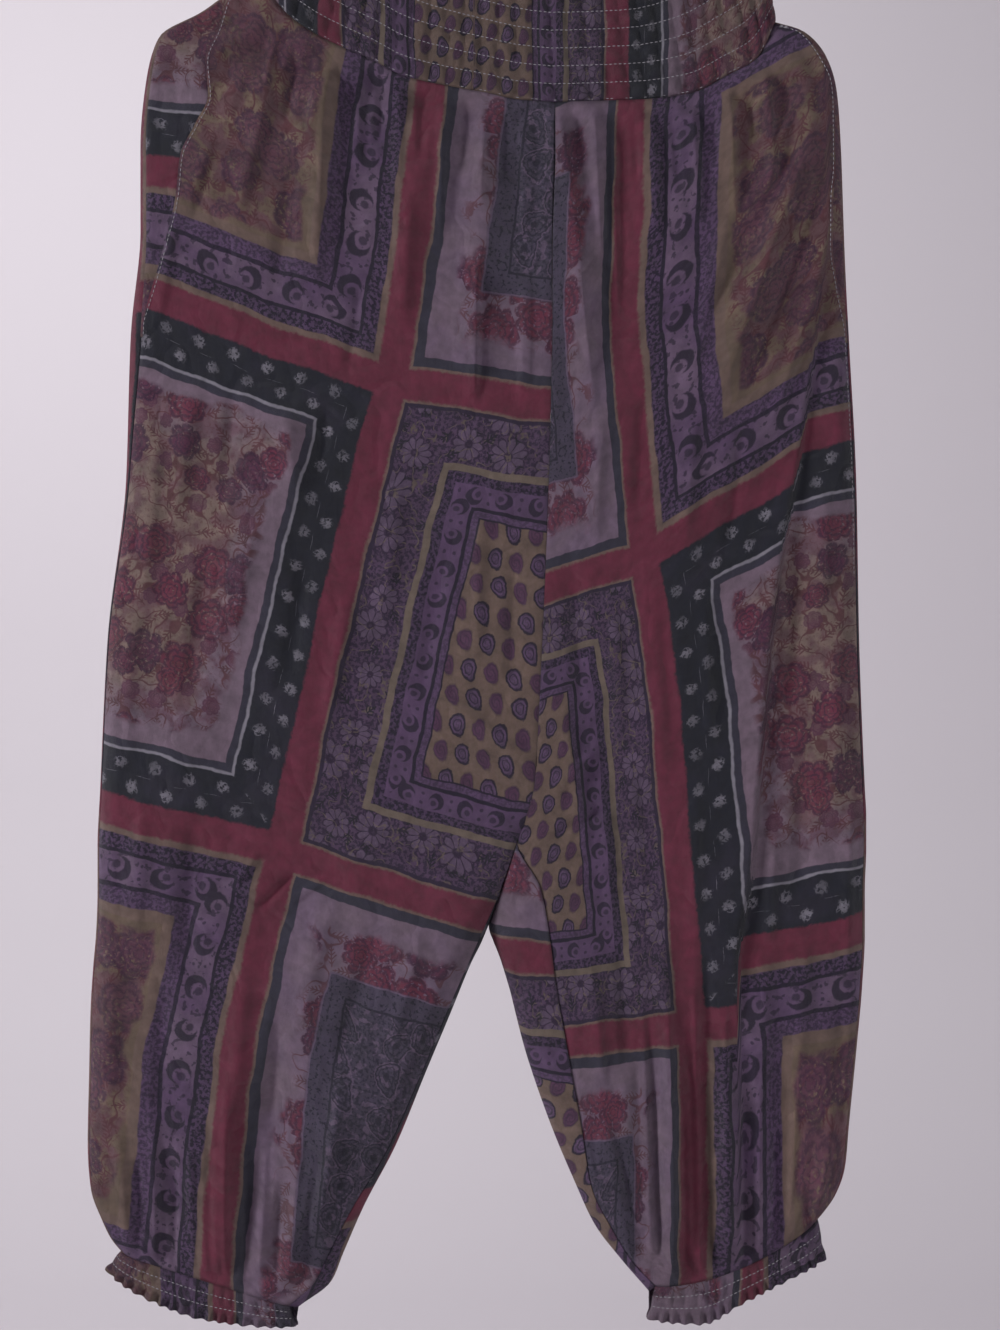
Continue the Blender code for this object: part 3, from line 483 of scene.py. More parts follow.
# The print's lines, in the photo's pixels: the red bands between the framed squares.
pixel = {"size": 0.7 * mm, "x0": 511.5, "y0": -138}
square = {"width": 0.300, "height": 0.340, "stretch": 0.68 * mm}      # cloth for each square and each pixel
printLines = {
    "left_front": {
        "red": (
            (440, 20), (430, 110), (415, 250), (395, 380), (340, 600), (285, 850), (240, 1050), (212, 1330),
        ),
        "high": ((60, 268), (155, 300), (270, 345), (385, 385), (548, 410), (620, 422)),
        "low": ((60, 793), (105, 805), (280, 845), (300, 855), (490, 915), (560, 935)),
    },
    "right_front": {
        "red": ((634, 20), (628, 110), (620, 330), (640, 560), (660, 700), (688, 1030), (691, 1330)),
        "high": ((500, 604), (545, 590), (640, 560), (790, 470), (870, 430)),
        "low": ((480, 1044), (560, 1035), (690, 1020), (900, 1000)),
        "highPast": ((600, 482), (800, 440), (858, 425), (900, 416)),
        "lowPast": ((600, 977), (735, 950), (865, 925), (900, 918)),
    },
}


def lineX(points, y):
    return np.interp(y, [p[1] for p in points], [p[0] for p in points])


def lineY(points, x):
    return np.interp(x, [p[0] for p in points], [p[1] for p in points])


def frontPrint(panel, points):
    x, z = points[..., 0], points[..., 2]
    px = x / pixel["size"] + pixel["x0"]
    py = -z / pixel["size"] + pixel["y0"]
    lines = printLines[panel]
    high, low = lineY(lines["high"], px), lineY(lines["low"], px)
    sign = -1 if panel.startswith("left") else 1
    if "highPast" in lines:
        past = smooth((x - dropX.at(z)[..., 0]) / (3 * mm) + 0.5)
        past = past * smooth((z + 990 * mm) / (170 * mm))
        high = high + (lineY(lines["highPast"], px) - high) * past
        low = low + (lineY(lines["lowPast"], px) - low) * past
    u = (px - lineX(lines["red"], py)) * sign * square["stretch"]
    if sign > 0:
        u = np.where(u < 0, u * 1.3, u)      # the right leg's inner squares are drawn in by the folds
    between = (py - high) / (low - high) * square["height"]
    v = np.where(py < high, (py - high) * square["stretch"], between)
    v = np.where(py > low, square["height"] + (py - low) * square["stretch"], v)
    return np.stack([u, v], -1)


def backPrint(leg, points, fromFold, seam):
    # The back's squares start from a red band along the outer fold, with its beige edge at the side seam.
    z = points[..., 2]
    u = fromFold + frames["redHalf"] * mm - 0.6 * seam
    v = (-z - 0.34) * 0.97 + (points[..., 0] * leg.sign) * 0.12
    return np.stack([u, v], -1)


def panelRows(leg):
    return rowPlaces(leg, 0, cut["cuffRow"], cut["rowStep"])


def mouthShares(leg, rows):
    # Where the pocket mouth crosses each row of the front, as a share of the row.
    edge = byHeight(pocketMouth[leg.side])
    a = np.linspace(0.4, 1, 1201)[None, :].repeat(len(rows), 0)
    v = rows[:, None].repeat(a.shape[1], 1)
    flat = leg.flatPoint("front", a, v)
    outside = (flat[..., 0] - edge.at(flat[..., 1])[..., 0]) * leg.sign > 0
    low = min(z for x, z in pocketMouth[leg.side]) * mm
    outside &= flat[..., 1] > low
    last = np.where(~outside, np.arange(a.shape[1])[None, :], -1).max(1)
    shares = a[0, np.clip(last, 0, a.shape[1] - 1)]
    return np.where(outside[:, -1], shares, 1.0)


def frontEnds(leg, rows):
    seam = 1 - leg.section(rows)["sideSeam"] / leg.length("front", rows)
    return np.minimum(seam, mouthShares(leg, rows))


def seamDips(points, nearEdge):
    # The cloth sinks a little where a seam holds it.
    dip = cut["seamDip"] * np.exp(-((nearEdge / cut["seamDipWidth"]) ** 2))
    points[..., 1] += np.sign(-points[..., 1]) * dip
    return points


def columnPlaces(start, end, count):
    # Columns across a row: closer together near both edges, where the cloth turns.
    inner = start + quarterSteps(cut["innerRound"], 6)[None, :]
    tail = end - 30 * mm * np.linspace(1, 0, 16)[None, :] ** 1.6
    middle = inner[:, -1:] + (tail[:, :1] - inner[:, -1:]) * np.linspace(0, 1, count)[None, 1:-1]
    return np.concatenate([inner, middle, tail], 1)


def makeFront(leg):
    rows = panelRows(leg)
    lengths = leg.length("front", rows)[:, None]
    ends = frontEnds(leg, rows)[:, None] * lengths - cut["seamGap"]
    places = columnPlaces(np.full_like(ends, cut["seamGap"]), ends, cut["across"])
    v = rows[:, None].repeat(places.shape[1], 1)
    points = leg.point("front", places / lengths, v)
    points = seamDips(points, np.minimum(places, ends - places))
    uv = frontPrint(leg.side + "_front", points)
    return gridMesh(leg.side + "FrontCloth", points, uv)


def makeBack(leg):
    # From the side seam round the outer fold, across the back, and forward again below the crotch.
    upper = rowPlaces(leg, 0, cut["crotchRow"], cut["rowStep"])
    lower = rowPlaces(leg, cut["crotchRow"], cut["cuffRow"], cut["rowStep"])
    rows = np.concatenate([upper, lower[1:]])
    crotch = len(upper) - 1
    frontLengths = leg.length("front", rows)[:, None]
    lengths = leg.length("back", rows)[:, None]
    seam = leg.section(rows)["sideSeam"][:, None]
    stripColumns, hookColumns = cut["stripColumns"], cut["hookColumns"]
    stripGaps = seam * (1 - np.linspace(0, 1, stripColumns + 1)[None, :-1] ** 0.7)
    stripGaps[:, :1] -= cut["seamGap"]
    strip = leg.point("front", 1 - stripGaps / frontLengths, rows[:, None].repeat(stripColumns, 1))
    places = columnPlaces(np.full_like(lengths, cut["seamGap"]), lengths, cut["across"])[:, ::-1]
    layer = leg.point("back", places / lengths, rows[:, None].repeat(places.shape[1], 1))
    hookShares = np.linspace(0, 1, hookColumns + 1)[None, 1:] ** 1.3
    hookRows = np.maximum(rows, cut["crotchRow"])[:, None].repeat(hookColumns, 1)
    start, end = [leg.hookPoint(np.full_like(hookRows, share), hookRows) for share in (0, 1)]
    reach = np.linalg.norm(end - start, axis=-1)
    shares = np.minimum(hookShares.repeat(len(rows), 0), 1 - cut["seamGap"] / np.maximum(reach, 1 * mm))
    hook = leg.hookPoint(shares, hookRows)
    points = np.concatenate([strip, layer, hook], 1)
    fromFold = np.concatenate([stripGaps, places - lengths, shares * reach - lengths], 1)
    uv = backPrint(leg, points, fromFold, seam)
    uv[:, -hookColumns:] = hookPrint(leg, hook)
    missing = np.zeros(points.shape[:2], bool)
    missing[:crotch, -hookColumns:] = True
    return gridMesh(leg.side + "BackCloth", points, uv, missing)


def hookPrint(leg, points):
    px = points[..., 0] / pixel["size"] + pixel["x0"]
    py = -points[..., 2] / pixel["size"] + pixel["y0"]
    if leg.side == "right":
        u = -0.12 + (px - 560) * square["stretch"]
        v = (py - 955 - (px - 560) * 0.1) * square["stretch"]
    else:
        u = (px - lineX(((520, 900), (380, 1200), (330, 1330)), py)) * -square["stretch"] + 0.002
        v = (py - 700) * square["stretch"]
    return np.stack([u, v], -1)


def makeFacing(leg):
    rows = rowPlaces(leg, pocket["highRow"], pocket["lowRow"], 3 * mm)
    lengths = leg.length("front", rows)[:, None]
    seam = 1 - (leg.section(rows)["sideSeam"][:, None] + cut["seamGap"]) / lengths
    mouth = np.minimum(mouthShares(leg, rows)[:, None], seam) - pocket["lap"] / lengths
    a = mouth + (seam - mouth) * np.linspace(0, 1, pocket["columns"] + 1)[None, :]
    v = rows[:, None].repeat(a.shape[1], 1)
    points = leg.point("front", a, v)
    points[..., 1] += pocket["drop"] * smooth((seam - a) * lengths / (8 * mm))
    x, z = points[..., 0], points[..., 2]
    px, py = x / pixel["size"] + pixel["x0"], -z / pixel["size"] + pixel["y0"]
    if leg.side == "left":
        u = 0.13 + (px - 180) * square["stretch"]
        v = 0.34 + (py - 183 - (px - 180) * 0.1) * square["stretch"]
    else:
        u = 0.16 + (px - 820) * square["stretch"]
        v = (py - 445) * square["stretch"]
    return gridMesh(leg.side + "PocketCloth", points, np.stack([u, v], -1))


band = {
    "cells": 7, "wavesLeft": 19, "wavesRight": 14, "height": 102 * mm, "frill": 8 * mm,
    "topDepth": 15 * mm, "topRound": 45 * mm, "puff": 2.9 * mm, "ruffle": 2.2 * mm,
    "stepsAcross": 8, "stepsUp": 8, "gather": 1.4, "redLeft": 332, "redRight": 616,
    "puffSeed": 3,
    "seamShare": 0.012,         # the share of the height, from the waist seam up, that stays flat
}


class Band:
    # The waistband's plain form: straight lines from the waist seam up to the top edge, all round.
    def __init__(self):
        self.edge = along(topEdge)
        self.seam = {side: self.seamLength(leg) for side, leg in legs.items()}
        self.centre = self.seam["left"] / sum(self.seam.values())
        steps = np.diff(np.array(topEdge, float), axis=0)
        self.topLength = np.linalg.norm(steps, axis=1).sum() * mm

    def seamLength(self, leg):
        a = np.linspace(0, 1, 41)
        points = leg.flatPoint("front", a, np.zeros_like(a))
        return np.linalg.norm(np.diff(points, axis=0), axis=1).sum()

    def at(self, c, w):
        # c runs 0 to 1 across each of the four quarters: back left, front left, front right, back right.
        c, w = np.broadcast_arrays(np.asarray(c, float), np.asarray(w, float))
        found = np.zeros(c.shape + (3,))
        for quarter, (side, layer, outward) in enumerate(
            (("left", "back", 1), ("left", "front", 0), ("right", "front", 1), ("right", "back", 0))
        ):
            here = (c >= quarter) & ((c < quarter + 1) | (quarter == 3))
            share = c[here] - quarter
            a = share if outward else 1 - share
            low = legs[side].point(layer, a, np.zeros_like(a))
            s = self.centre * (1 - a) if side == "left" else self.centre + (1 - self.centre) * a
            high = self.edge.at(s)
            gap = np.minimum(s, 1 - s) * self.topLength
            depth = band["topDepth"] * rounded(gap / band["topRound"])
            depth = -depth if layer == "front" else depth
            top = np.stack([high[..., 0], depth, high[..., 1]], -1)
            found[here] = low + (top - low) * w[here][..., None]
        return found

    def outward(self, c, w):
        across = self.at(np.minimum(c + 0.01, 4), w) - self.at(np.maximum(c - 0.01, 0), w)
        up = self.at(c, np.minimum(w + 0.05, 1)) - self.at(c, np.maximum(w - 0.05, 0))
        normal = np.cross(across, up)
        return normal / np.maximum(np.linalg.norm(normal, axis=-1, keepdims=True), 1e-9)


bandForm = Band()


def bandColumns(perWave):
    parts = []
    for quarter, waves in enumerate((band["wavesLeft"],) * 2 + (band["wavesRight"],) * 2):
        parts.append(quarter + np.arange(waves * perWave) / (waves * perWave))
    return np.concatenate(parts + [[4.0]])


def bandLift(wave, rowPlace):
    # Small puffs between the rows of shirring; wave counts gathers and rowPlace counts rows.
    rng = np.random.default_rng(band["puffSeed"])
    cells = (int(wave.max()) + 2, band["cells"] + 2)
    size = rng.uniform(0.75, 1.2, cells)
    lean = rng.uniform(-0.16, 0.16, cells)
    r = np.clip(np.floor(rowPlace).astype(int), 0, band["cells"])
    inRow = rowPlace - np.floor(rowPlace)
    shifted = wave + lean[np.floor(wave).astype(int), r] * np.sin(np.pi * inRow)
    k = np.clip(np.floor(shifted).astype(int), 0, cells[0] - 1)
    ridge = np.abs(np.sin(np.pi * shifted)) ** 0.8
    bulge = np.sin(np.pi * np.clip(inRow, 0, 1)) ** 0.55
    return size[k, r] * ridge * (0.25 + 0.75 * bulge) * band["puff"]


def makeBand():
    c = bandColumns(band["stepsAcross"])[None, :]
    frillShare = band["frill"] / band["height"]
    rowsUp = band["cells"] * band["stepsUp"]
    w = np.concatenate([
        (1 - frillShare) * np.arange(rowsUp + 1) / rowsUp,
        1 - frillShare + frillShare * np.linspace(0, 1, 6)[1:],
    ])[:, None]
    c, w = np.broadcast_arrays(c, w)
    columns = c.shape[1]
    wave = np.broadcast_to(np.arange(columns)[None, :] / band["stepsAcross"], c.shape)
    rowPlace = np.minimum(w / (1 - frillShare), 1) * band["cells"]
    lift = bandLift(wave, np.minimum(rowPlace, band["cells"] - 1e-6))
    lift *= smooth(w / band["seamShare"])
    inFrill = np.clip((w - (1 - frillShare)) / frillShare, 0, 1)
    ruffle = band["ruffle"] * np.cos(2 * np.pi * wave * 0.5 + np.sin(wave * 1.7)) * smooth(inFrill)
    lift = np.where(inFrill > 0, 0.3 * mm * (1 - inFrill) + ruffle, lift)
    points = bandForm.at(c, w) + bandForm.outward(c, np.clip(w, 0, 1)) * lift[..., None]
    px = points[..., 0] / pixel["size"] + pixel["x0"]
    front = (c >= 1) & (c <= 3)
    u = (px - band["redRight"]) * pixel["size"] * band["gather"]
    u = np.where(px < 474, (px - band["redLeft"]) * pixel["size"] * band["gather"] - 0.3, u)
    u = np.where(front, u, u + 0.11)
    v = 0.17 - w * 0.105 + (px - 500) * 0.00002
    return gridMesh("waistbandCloth", points, np.stack([u, v], -1))


cuffs = {
    "left": {
        "edge": ((-151, -1024), (-183, -1022), (-218, -1017), (-246, -1007), (-264, -998), (-283, -985)),
        "red": 225, "down": 0.52,
    },
    "right": {
        "edge": ((96, -1019), (132, -1021), (160, -1007), (195, -989), (219, -977)),
        "red": 751, "down": 0.63,
    },
    "waves": 16, "depth": 9 * mm, "ruffle": 2.1 * mm, "puff": 1.4 * mm, "round": 14 * mm,
    "steps": 8, "gather": 1.4, "rows": 22, "frillFrom": 0.6,
}


def cuffForm(leg, c, w):
    # c runs 0 to 2: the back from the inner fold out, then the front back in again.
    edge = along(cuffs[leg.side]["edge"])
    front = c > 1
    a = np.where(front, 2 - c, c)
    row = np.full_like(a, cut["cuffRow"])
    high = np.where(front[..., None], leg.point("front", a, row), leg.point("back", a, row))
    low = edge.at(a)
    length = leg.length("front", np.array([float(cut["cuffRow"])]))[0]
    gap = np.minimum(a, 1 - a) * length
    depth = np.maximum(cuffs["depth"] * rounded(gap / cuffs["round"]), 0.1 * mm)
    bottom = np.stack([low[..., 0], np.where(front, -depth, depth), low[..., 1]], -1)
    return high + (bottom - high) * w[..., None]


def cuffPoints(leg, c, w):
    # The shirred and frilled surface, and the way out of it.
    base = cuffForm(leg, c, w)
    across = cuffForm(leg, np.minimum(c + 0.01, 2), w) - cuffForm(leg, np.maximum(c - 0.01, 0), w)
    up = cuffForm(leg, c, np.maximum(w - 0.05, 0)) - cuffForm(leg, c, np.minimum(w + 0.05, 1))
    normal = np.cross(across, up)
    normal /= np.maximum(np.linalg.norm(normal, axis=-1, keepdims=True), 1e-9)
    facing = np.where(c > 1, -1.0, 1.0)
    nearFold = np.abs(normal[..., 1]) < 0.3
    outer = np.abs(c - 1) < 0.5
    inward = np.where(
        nearFold, normal[..., 0] * leg.sign * np.where(outer, 1, -1) < 0, normal[..., 1] * facing < 0
    )
    normal[inward] *= -1
    wave = c * cuffs["waves"] + 0.15 * np.sin(c * 23)
    rng = np.random.default_rng(11 if leg.side == "left" else 12)
    size = rng.uniform(0.7, 1.25, 2 * cuffs["waves"] + 2)[np.clip(np.floor(wave).astype(int), 0, None)]
    bulge = np.abs(np.sin(np.pi * wave)) * np.sin(np.pi * np.clip(w / cuffs["frillFrom"], 0, 1)) ** 0.6
    inFrill = np.clip((w - cuffs["frillFrom"]) / (1 - cuffs["frillFrom"]), 0, 1)
    ruffle = cuffs["ruffle"] * np.cos(2 * np.pi * wave) * smooth(inFrill * 1.2)
    lift = cuffs["puff"] * size * bulge + ruffle * size
    return base + normal * lift[..., None], normal


def makeCuff(leg):
    count = cuffs["waves"] * 2 * cuffs["steps"]
    c = np.linspace(0, 2, count + 1)[None, :].repeat(cuffs["rows"] + 1, 0)
    w = np.linspace(0, 1, cuffs["rows"] + 1)[:, None].repeat(count + 1, 1)
    points, _ = cuffPoints(leg, c, w)
    px = points[..., 0] / pixel["size"] + pixel["x0"]
    u = (px - cuffs[leg.side]["red"]) * leg.sign * pixel["size"] * cuffs["gather"]
    v = cuffs[leg.side]["down"] + w * 0.03
    return gridMesh(leg.side + "CuffCloth", points, np.stack([u, v], -1))


stitches = {
    "length": 2.4 * mm, "gap": 0.9 * mm, "thick": 0.42 * mm,
    "bandRows": 8, "cuffRows": (0.28, 0.6), "mouthInset": 2.2 * mm,
}


def sewRow(bm, path, outward):
    # Short raised stitches one after another along a path on the cloth.
    length, thick = stitches["length"], stitches["thick"]
    lengths = np.concatenate([[0], np.cumsum(np.linalg.norm(np.diff(path, axis=0), axis=1))])

    def at(values, place):
        return Vector([float(np.interp(place, lengths, values[:, k])) for k in range(3)])

    for start in np.arange(0, lengths[-1] - length, length + stitches["gap"]):
        first, last = at(path, start), at(path, start + length)
        run = last - first
        side = run.cross(at(outward, start)).normalized()
        up = side.cross(run).normalized()
        shape = Matrix((run * 0.55, side * thick * 0.6, up * thick * 0.6)).transposed().to_4x4()
        place = Matrix.Translation((first + last) / 2 + up * thick * 0.3)
        bmesh.ops.create_icosphere(bm, subdivisions=1, radius=1.0, matrix=place @ shape)


def threadPiece(name, bm):
    mesh = bpy.data.meshes.new(name)
    bm.to_mesh(mesh)
    bm.free()
    mesh.shade_smooth()
    mesh.materials.append(paleThread)
    piece = bpy.data.objects.new(name, mesh)
    bpy.context.scene.collection.objects.link(piece)
    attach(piece, "root")
    return piece


def shirringThreads():
    # Rows of elastic stitching round the waistband, one between each two rows of puffs.
    bm = bmesh.new()
    frillShare = band["frill"] / band["height"]
    c = bandColumns(band["stepsAcross"])
    wave = np.arange(len(c)) / band["stepsAcross"]
    for k in range(stitches["bandRows"]):
        rowPlace = np.full_like(c, min(k, band["cells"] - 1e-6))
        w = np.full_like(c, (1 - frillShare) * k / band["cells"] + (band["seamShare"] if k == 0 else 0))
        outward = bandForm.outward(c, w)
        path = bandForm.at(c, w) + outward * (bandLift(wave, rowPlace) + 0.1 * mm)[:, None]
        sewRow(bm, path, outward)
    return threadPiece("shirringThreads", bm)


def cuffThreads(leg):
    bm = bmesh.new()
    c = np.linspace(0.002, 1.998, 257)
    for w in stitches["cuffRows"]:
        path, outward = cuffPoints(leg, c, np.full_like(c, w))
        sewRow(bm, path + outward * 0.1 * mm, outward)
    return threadPiece(leg.side + "CuffThreads", bm)


def mouthThreads(leg):
    # The row of stitches beside the pocket mouth, from the tack at its top down.
    bm = bmesh.new()
    rows = rowPlaces(leg, pocket["highRow"] + 0.25, pocket["stitchedTo"][leg.side], 3 * mm)
    lengths = leg.length("front", rows)
    a = frontEnds(leg, rows) - stitches["mouthInset"] / lengths
    path = leg.point("front", a, rows)
    outward = np.tile([leg.sign * 0.35, -1.0, 0.0], (len(rows), 1))
    sewRow(bm, path + np.array([0, -0.1 * mm, 0]), outward)
    return threadPiece(leg.side + "MouthThreads", bm)


def barTack(leg):
    # A dense tack at the top of the pocket mouth.
    bm = bmesh.new()
    for k in range(5):
        rows = np.linspace(0.22, 0.62, 6)
        a = frontEnds(leg, rows) - (0.4 * mm + k * 0.55 * mm) / leg.length("front", rows)
        path = leg.point("front", a, rows)
        sewRow(bm, path - np.array([0, 0.15 * mm, 0]), np.tile([0.0, -1.0, 0.0], (len(rows), 1)))
    return threadPiece(leg.side + "PocketTack", bm)


# Colours as they look in the photo's light, each channel from 0 to 255.
dye = {
    "red": (112, 36, 62), "beige": (120, 97, 90), "teal": (22, 23, 40), "white": (158, 152, 166),
    "lightLilac": (120, 98, 122), "light": (130, 108, 126), "grayLine": (52, 48, 66), "lilac": (96, 70, 106),
    "darkLine": (30, 17, 44), "rim": (44, 28, 56), "olive": (112, 92, 80), "lace": (86, 62, 92),
    "laceDark": (28, 24, 40), "laceLight": (124, 102, 130), "blueGray": (76, 66, 88), "rose": (116, 44, 70),
    "plum": (84, 36, 70), "purple": (44, 22, 54), "brown": (96, 50, 60), "mauve": (104, 62, 82),
    "ivory": (138, 116, 100), "vine": (118, 102, 92), "slate": (36, 31, 50),
}
clothLook = {
    "roughness": 0.86, "gloss": 0.25, "sheen": 0.08, "sheenRoughness": 0.5,
    # fade and bleach vary the colour's value: partly real fading and bleaching, partly painted shade and
    # painted highlight of folds and crinkles.
    "weave": 0.55, "weaveBump": 0.10, "crinkle": 1.0, "shirredCrinkle": 0.7, "fade": 0.34, "bleachAndCrinkleShade": 0.9,
    "wobble": 2.4, "wobbleSize": 34.0, "waver": 0.55, "waverSize": 6.0,
}
frames = {
    # Distances in from the middle of a red band, in millimetres of cloth.
    "redHalf": 10.5,
    "A": {"teal": 42, "white": 44, "gray": 49, "motifs": (18.5, 33), "pitch": 24, "clear": 57},
    "B": {"beige": 15, "rim": 27, "band": 47, "line": 50, "rimIn": 61, "beigeIn": 68, "pitch": 30},
    "C": {"beige": 12.2, "line": 15, "lace": 48, "frame": 53, "rim": 60, "band": 74.5, "line2": 77,
          "rimIn": 82.5, "pitch": 21.5, "ovalX": 15.5, "ovalY": 19.0},
    "D": {"beige": 12.3, "gray": 19, "clear": 28, "patchSide": 50, "patchTop": 68},
}
roseRounds = ((1.0, 7, 0.0), (0.70, 6, 1.1), (0.42, 5, 0.4), (0.20, 3, 0.9))      # size, petals, turn


def linear(colour):
    values = [c / 255 for c in colour]
    values = [v / 12.92 if v < 0.04045 else ((v + 0.055) / 1.055) ** 2.4 for v in values]
    return tuple(values) + (1.0,)


class Wire:
    # A socket that can stand in a sum, so that a pattern reads as a formula.
    def __init__(self, tree, socket):
        self.tree = tree
        self.socket = socket

    def maths(self, operation, *others):
        node = self.tree.nodes.new("ShaderNodeMath")
        node.operation = operation
        for place, value in enumerate((self,) + others):
            if isinstance(value, Wire):
                self.tree.links.new(value.socket, node.inputs[place])
            else:
                node.inputs[place].default_value = value
        return Wire(self.tree, node.outputs[0])

    def __add__(self, other):
        return self.maths("ADD", other)

    def __sub__(self, other):
        return self.maths("SUBTRACT", other)

    def __mul__(self, other):
        return self.maths("MULTIPLY", other)

    def __truediv__(self, other):
        return self.maths("DIVIDE", other)

    def size(self):
        return self.maths("ABSOLUTE")

    def most(self, other):
        return self.maths("MAXIMUM", other)

    def least(self, other):
        return self.maths("MINIMUM", other)

    def flipped(self):
        return self.maths("MULTIPLY_ADD", -1.0, 1.0)      # 1 - value

    def steps(self, size):
        return (self / size).maths("FLOOR")

    def parity(self):
        return self - (self / 2.0).maths("FLOOR") * 2.0

    def over(self, edge, blur=0.4):
        return soft(self, edge - blur, edge + blur)

    def within(self, low, high, blur):
        return self.over(low, blur) * self.over(high, blur).flipped()


def soft(wire, low, high):
    node = wire.tree.nodes.new("ShaderNodeMapRange")
    node.interpolation_type = "SMOOTHSTEP"
    wire.tree.links.new(wire.socket, node.inputs["Value"])
    node.inputs["From Min"].default_value = low
    node.inputs["From Max"].default_value = high
    return Wire(wire.tree, node.outputs["Result"])


def joined(x, y):
    node = x.tree.nodes.new("ShaderNodeCombineXYZ")
    x.tree.links.new(x.socket, node.inputs[0])
    x.tree.links.new(y.socket, node.inputs[1])
    return Wire(x.tree, node.outputs[0])


def parted(vector):
    node = vector.tree.nodes.new("ShaderNodeSeparateXYZ")
    vector.tree.links.new(vector.socket, node.inputs[0])
    return Wire(vector.tree, node.outputs[0]), Wire(vector.tree, node.outputs[1])


def paint(base, colour, mask):
    # The second colour over the first where the mask is 1; colours are names in dye or wires.
    tree = mask.tree
    node = tree.nodes.new("ShaderNodeMix")
    node.data_type = "RGBA"
    tree.links.new(mask.socket, node.inputs[0])
    for place, value in ((6, base), (7, colour)):
        if isinstance(value, Wire):
            tree.links.new(value.socket, node.inputs[place])
        else:
            node.inputs[place].default_value = linear(dye[value])
    return Wire(tree, node.outputs[2])


def speckle(vector, size, detail=2.0, roughness=0.5):
    node = vector.tree.nodes.new("ShaderNodeTexNoise")
    node.noise_dimensions = "2D"
    node.inputs["Scale"].default_value = 1 / size
    node.inputs["Detail"].default_value = detail
    node.inputs["Roughness"].default_value = roughness
    vector.tree.links.new(vector.socket, node.inputs["Vector"])
    return Wire(vector.tree, node.outputs[0])


def scattered(vector, pitch, spread=0.85):
    # The nearest of a scatter of points: this place seen from it, and three random values.
    tree = vector.tree
    node = tree.nodes.new("ShaderNodeTexVoronoi")
    node.voronoi_dimensions = "2D"
    node.inputs["Scale"].default_value = 1 / pitch
    node.inputs["Randomness"].default_value = spread
    tree.links.new(vector.socket, node.inputs["Vector"])
    away = tree.nodes.new("ShaderNodeVectorMath")
    away.operation = "SUBTRACT"
    tree.links.new(vector.socket, away.inputs[0])
    tree.links.new(node.outputs["Position"], away.inputs[1])
    split = tree.nodes.new("ShaderNodeSeparateColor")
    tree.links.new(node.outputs["Color"], split.inputs[0])
    x, y = parted(Wire(tree, away.outputs[0]))
    return x, y, [Wire(tree, split.outputs[k]) for k in range(3)]


def reach(x, y):
    return (x * x + y * y).maths("SQRT")


def turned(x, y, angle):
    c, s = angle.maths("COSINE"), angle.maths("SINE")
    return x * c + y * s, y * c - x * s


def roses(vector, pitch, radius, grain):
    # Open roses drawn in rounds of scalloped petals: their mask, their dark lines, a random value.
    x, y, luck = scattered(vector, pitch)
    size = luck[1] * 0.5 + 0.62
    r = reach(x, y) / (size * radius) + (grain - 0.5) * 0.26
    angle = y.maths("ARCTAN2", x) + luck[0] * 6.28
    mask = None
    lines = None
    for share, petals, turn in roseRounds:
        scallop = (angle * (petals / 2) + turn).maths("COSINE").size().maths("SQRT") * 0.26 + 0.74
        place = r / (scallop * share)
        ring = place.within(0.80, 1.0, 0.10)
        lines = ring if lines is None else lines.most(ring)
        mask = place.over(1.0, 0.07).flipped() if mask is None else mask
    return mask, lines * mask, luck[2]


def sprays(vector, pitch, length, width):
    # Small leafy twigs, each turned its own way.
    x, y, luck = scattered(vector, pitch, 1.0)
    x, y = turned(x, y, luck[0] * 6.28)
    side = y.size()
    leaflet = soft(((x - side * 0.9) * 2.1).maths("COSINE"), -0.2, 0.5)
    blade = (side + x.size() * (width / length)).over(width, 0.5).flipped() * leaflet
    stem = side.over(0.45, 0.25).flipped() * x.size().over(length, 0.6).flipped()
    return blade.most(stem), luck[1]


def boughs(vector, size):
    # Thin wandering stems, where a slow noise passes its middle value.
    return soft((speckle(vector, size, 1.0) - 0.5).size(), 0.008, 0.024).flipped()


def crescents(alongBand, across, pitch, radius):
    x = alongBand - alongBand.steps(pitch) * pitch - pitch / 2
    odd = alongBand.steps(pitch).parity()
    outer = reach(x, across)
    inner = reach(x - (odd - 0.5) * (radius * 0.7), across + radius * 0.28)
    moon = outer.over(radius, radius * 0.08).flipped() * inner.over(radius * 0.68, radius * 0.08)
    eye = inner.over(radius * 0.35, radius * 0.08).flipped()
    gap = (x.size() - pitch / 2).size()
    dots = reach(gap, across.size() - radius * 0.55).over(1.2, 0.3).flipped()
    return moon.most(eye * 0.8).most(dots * 0.8)


